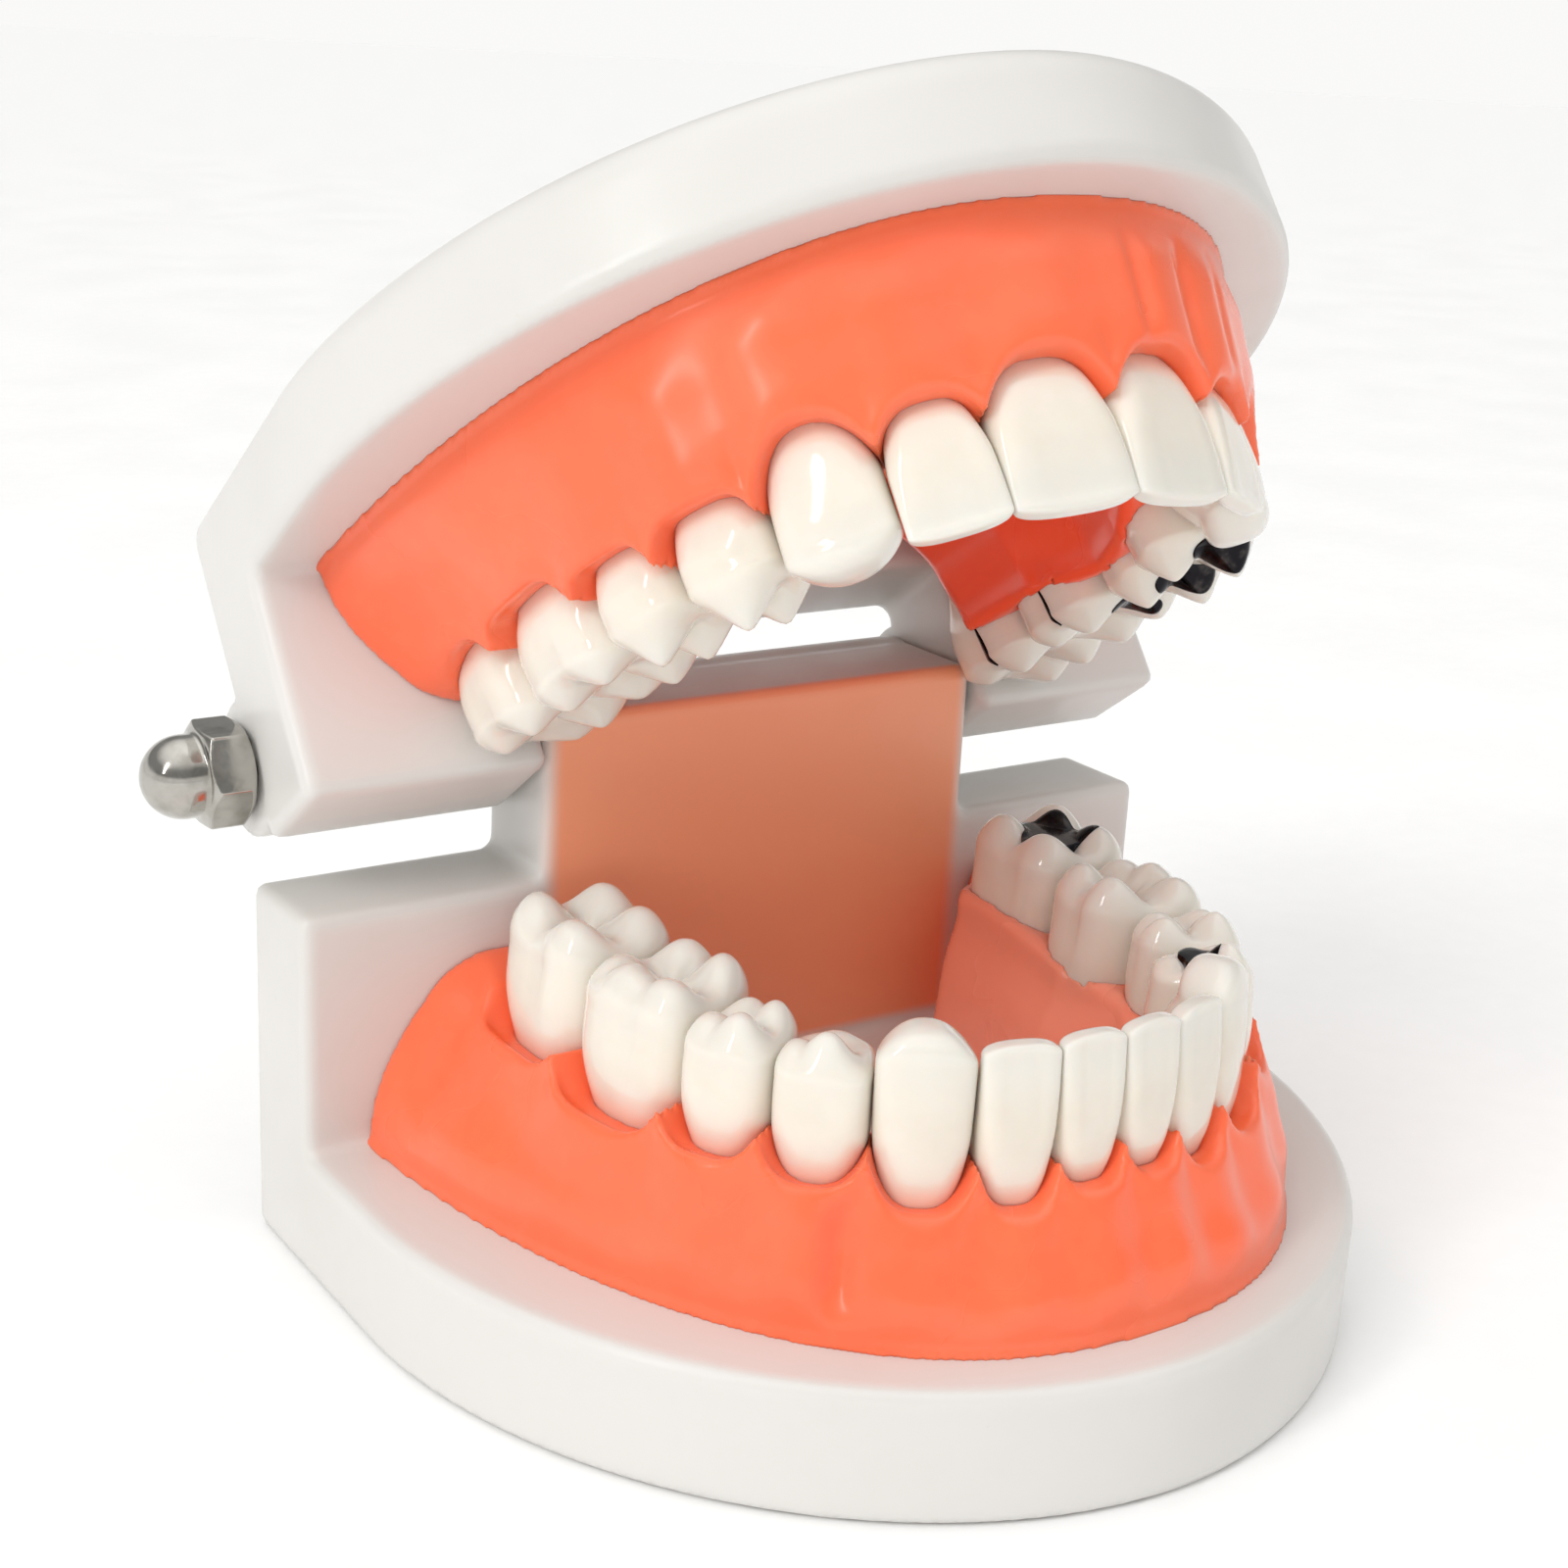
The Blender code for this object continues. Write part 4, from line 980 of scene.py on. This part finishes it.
def white_plastic(jaw):
    """Satin ABS with faint flow marks and handling marks; on the lower jaw, painted orange bounce light from
    the gums on the hinge tab's front face.
    """
    made = Surface(
        f"white_plastic_{jaw}", (0.3, 0.42, 160.0), IOR=1.5, Coat_Weight=0.12, Coat_Roughness=0.2
    )
    flow = made.patches(45.0, 4.0, 0.35, 0.7)
    body = made.mix(flow, (0.705, 0.69, 0.665), (0.675, 0.66, 0.63))
    specks = made.patches(900.0, 2.0, 0.76, 0.82, 0.3)
    body = made.mix(specks, body, (0.6, 0.56, 0.5))
    if jaw == "lower":
        # Painted light: orange light bounced from the gums, painted onto the hinge tab's front face.
        body = made.mix(made.painted_gum_bounce_on_tab(), body, (1.0, 0.37, 0.18))
    return made.finished(body, (3200.0, 3.0, 0.02, 0.1), (120.0, 3.0, 0.12, 0.06))


def gum_plastic():
    """Soft coral resin: light goes into it, and its surface is wet-looking and faintly uneven. A deeper red
    painted on the upper gum's inner side stands in for light bounced between the gum's faces, and a lighter
    pink painted on the lower gum's inner side stands in for light falling on it.
    """
    made = Surface(
        "gum_plastic", (0.24, 0.36, 60.0),
        IOR=1.48, Coat_Weight=0.35, Coat_Roughness=0.18,
        Subsurface_Weight=0.25, Subsurface_Scale=0.0012, Subsurface_Radius=(1.0, 0.42, 0.25),
    )
    patches = made.patches(70.0, 4.0, 0.3, 0.7)
    body = made.mix(patches, (1.0, 0.17, 0.066), (1.0, 0.15, 0.054))
    fine = made.patches(600.0, 2.0, 0.3, 0.9, 0.12)
    body = made.mix(fine, body, (1.0, 0.24, 0.12))
    # Painted light: a deeper red on the upper gum's inner side for light bounced between its faces, a lighter
    # pink on the lower gum's inner side where light falls.
    for part, tone in (("painted_palate_bounce", (1.0, 0.1, 0.036)), ("painted_tongue_side_light", (1.0, 0.34, 0.23))):
        body = made.mix(made.add("ShaderNodeAttribute", attribute_name=part).outputs["Fac"], body, tone)
    return made.finished(body, (160.0, 1.0, 0.14, 0.05), (2600.0, 2.0, 0.02, 0.05))


def tooth_plastic():
    """Milky resin, clearer and cooler towards the edge; a warm pink painted at the neck stands in for orange
    light bounced from the gum.
    """
    made = Surface(
        "tooth_plastic", (0.07, 0.15, 260.0),
        IOR=1.54, Coat_Weight=0.35, Coat_Roughness=0.06,
        Subsurface_Weight=0.45, Subsurface_Scale=0.0014, Subsurface_Radius=(1.0, 0.72, 0.5),
    )
    level = made.add("ShaderNodeAttribute", attribute_name="level").outputs["Fac"]
    edge = made.ramp(level, 0.45, 1.05, 0.0, 1.0)
    # Painted light: a warm pink band at the neck, for orange light bounced from the gum.
    neck = made.ramp(level, 0.16, -0.08, 0.0, 1.0)
    mottle = made.patches(260.0, 4.0, 0.35, 0.7)
    body = made.mix(mottle, (0.81, 0.76, 0.67), (0.78, 0.725, 0.63))
    body = made.mix(edge, body, (0.77, 0.755, 0.7))
    body = made.mix(neck, body, (0.88, 0.66, 0.53))
    return made.finished(body, (900.0, 2.0, 0.03, 0.08), (180.0, 2.0, 0.12, 0.07))


def bright_steel():
    """Bright plated steel with fine turning marks and a few hazy patches."""
    made = Surface("bright_steel", (0.06, 0.2, 700.0), Metallic=1.0)
    haze = made.patches(500.0, 4.0, 0.4, 0.75)
    return made.finished(made.mix(haze, (0.5, 0.485, 0.45), (0.34, 0.325, 0.29)), (1800.0, 3.0, 0.02, 0.12))


def polished_amalgam():
    """Dark polished metal, scratched where it was burnished."""
    made = Surface("polished_amalgam", (0.05, 0.18, 900.0), Metallic=1.0)
    haze = made.patches(900.0, 4.0, 0.5, 0.85)
    body = made.mix(haze, (0.018, 0.017, 0.02), (0.09, 0.08, 0.075))
    return made.finished(body, (1300.0, 4.0, 0.05, 0.18))


# ---- stage, light and camera

# These are in metres. The sky's stops are its strength by the upward part of the direction.
FLOOR_Z = -0.1 * MM
FLOOR_RINGS = (0.2, 0.6, 2.0, 6.0)
FLOOR_AROUND = 96
SKY_STOPS = ((0.0, 0.955), (0.16, 0.955), (0.27, 0.33), (0.55, 0.36), (0.78, 1.1), (1.0, 1.5))
SUN_STRENGTH = 0.24 * math.pi
SUN_ANGLE = math.radians(30.0)
SUN_FROM = Vector((-0.74, -0.2, 0.64))
LIT_POINT = Vector((0.0, 0.0, 0.04))


def make_floor():
    """A pale round floor, with a faint grain."""
    turns = [math.tau * i / FLOOR_AROUND for i in range(FLOOR_AROUND)]
    points = [(r * math.cos(turn), r * math.sin(turn), FLOOR_Z) for r in FLOOR_RINGS for turn in turns]
    faces = []
    for i in range(FLOOR_AROUND):
        j = (i + 1) % FLOOR_AROUND
        faces.append((len(points), i, j))
        for near in range(0, len(points) - FLOOR_AROUND, FLOOR_AROUND):
            far = near + FLOOR_AROUND
            faces.append((near + i, far + i, far + j, near + j))
    points.append((0.0, 0.0, FLOOR_Z))
    mesh = bpy.data.meshes.new("floor")
    mesh.from_pydata(points, [], faces)
    floor = bpy.data.objects.new("floor", mesh)
    bpy.context.scene.collection.objects.link(floor)
    made = Surface("pale_floor", (0.5, 0.65, 30.0))
    grain = made.patches(300.0, 4.0, 0.3, 0.7)
    mesh.materials.append(made.finished(made.mix(grain, (0.99, 0.99, 0.99), (0.975, 0.975, 0.975))))


def make_lamp(name, data, place, towards):
    item = bpy.data.objects.new(name, data)
    item.location = place
    item.rotation_euler = towards.to_track_quat("-Z", "Y").to_euler()
    bpy.context.scene.collection.objects.link(item)
    return item


def make_soft_box(name, place, size, power, tint):
    lamp = bpy.data.lights.new(name, "AREA")
    lamp.shape = "RECTANGLE"
    lamp.size, lamp.size_y = size
    lamp.energy = power
    lamp.color = tint
    return make_lamp(name, lamp, place, LIT_POINT - Vector(place))


def make_studio():
    """A white room, brightest overhead and at the horizon, with a soft sun and two soft boxes."""
    world = bpy.data.worlds.new("studio")
    world.use_nodes = True
    tree = world.node_tree
    sky = tree.nodes["Background"]
    sky.inputs["Color"].default_value = (1.0, 0.995, 0.985, 1.0)
    place = tree.nodes.new("ShaderNodeTexCoord")
    split = tree.nodes.new("ShaderNodeSeparateXYZ")
    tree.links.new(place.outputs["Generated"], split.inputs["Vector"])
    bands = tree.nodes.new("ShaderNodeValToRGB")
    for position, strength in SKY_STOPS[1:-1]:
        bands.color_ramp.elements.new(position)
    for element, (position, strength) in zip(bands.color_ramp.elements, SKY_STOPS):
        element.position = position
        element.color = (strength, strength, strength, 1.0)
    tree.links.new(split.outputs["Z"], bands.inputs["Fac"])
    tree.links.new(bands.outputs["Color"], sky.inputs["Strength"])
    bpy.context.scene.world = world
    sun = bpy.data.lights.new("window", "SUN")
    sun.energy = SUN_STRENGTH
    sun.angle = SUN_ANGLE
    make_lamp("window", sun, (0.0, 0.0, 0.0), -SUN_FROM).visible_glossy = False
    make_soft_box("strip", (-0.55, -0.12, 0.38), (0.06, 0.3), 0.6, (1.0, 0.99, 0.97))
    fill = make_soft_box("front_fill", (-0.46, -0.72, 0.16), (0.3, 0.2), 0.75, (1.0, 0.985, 0.97))
    fill.visible_glossy = False
    bpy.context.scene.view_settings.view_transform = "Standard"


def make_camera():
    azimuth, elevation, roll = (math.radians(value) for value in (-34.35, 17.57, 2.98))
    target = Vector((-0.56, 12.76, 32.52)) * MM
    distance = 177.4 * MM
    lens = bpy.data.cameras.new("camera")
    lens.sensor_width = 36.0
    lens.lens = 54.7
    lens.clip_start = 0.01
    camera = bpy.data.objects.new("camera", lens)
    turn = Matrix.Rotation(azimuth, 4, "Z") @ Matrix.Rotation(math.pi / 2 - elevation, 4, "X")
    turn = turn @ Matrix.Rotation(roll, 4, "Z")
    camera.matrix_world = Matrix.Translation(target) @ turn @ Matrix.Translation((0.0, 0.0, distance))
    bpy.context.scene.collection.objects.link(camera)
    bpy.context.scene.camera = camera


def main():
    make_camera()
    make_studio()
    make_floor()
    enamel, pink = tooth_plastic(), gum_plastic()
    steel, amalgam = bright_steel(), polished_amalgam()
    make_bases()
    make_nuts(steel)
    bolt = frame["nodes"]["hinge_bolt"].data
    bolt.materials.clear()
    bolt.materials.append(steel)
    rows = Row("lower"), Row("upper")
    for row in rows:
        for side in (1, -1):
            for index in range(len(TOOTH_NAMES)):
                tooth = Tooth(row, index, side)
                tooth.make(enamel)
                if tooth.name in FILLINGS:
                    tooth.make_filling(amalgam)
                if tooth.name in STAINS:
                    tooth.make_stain(amalgam)
    for row in rows:
        make_gum(Gum(row), pink)


main()
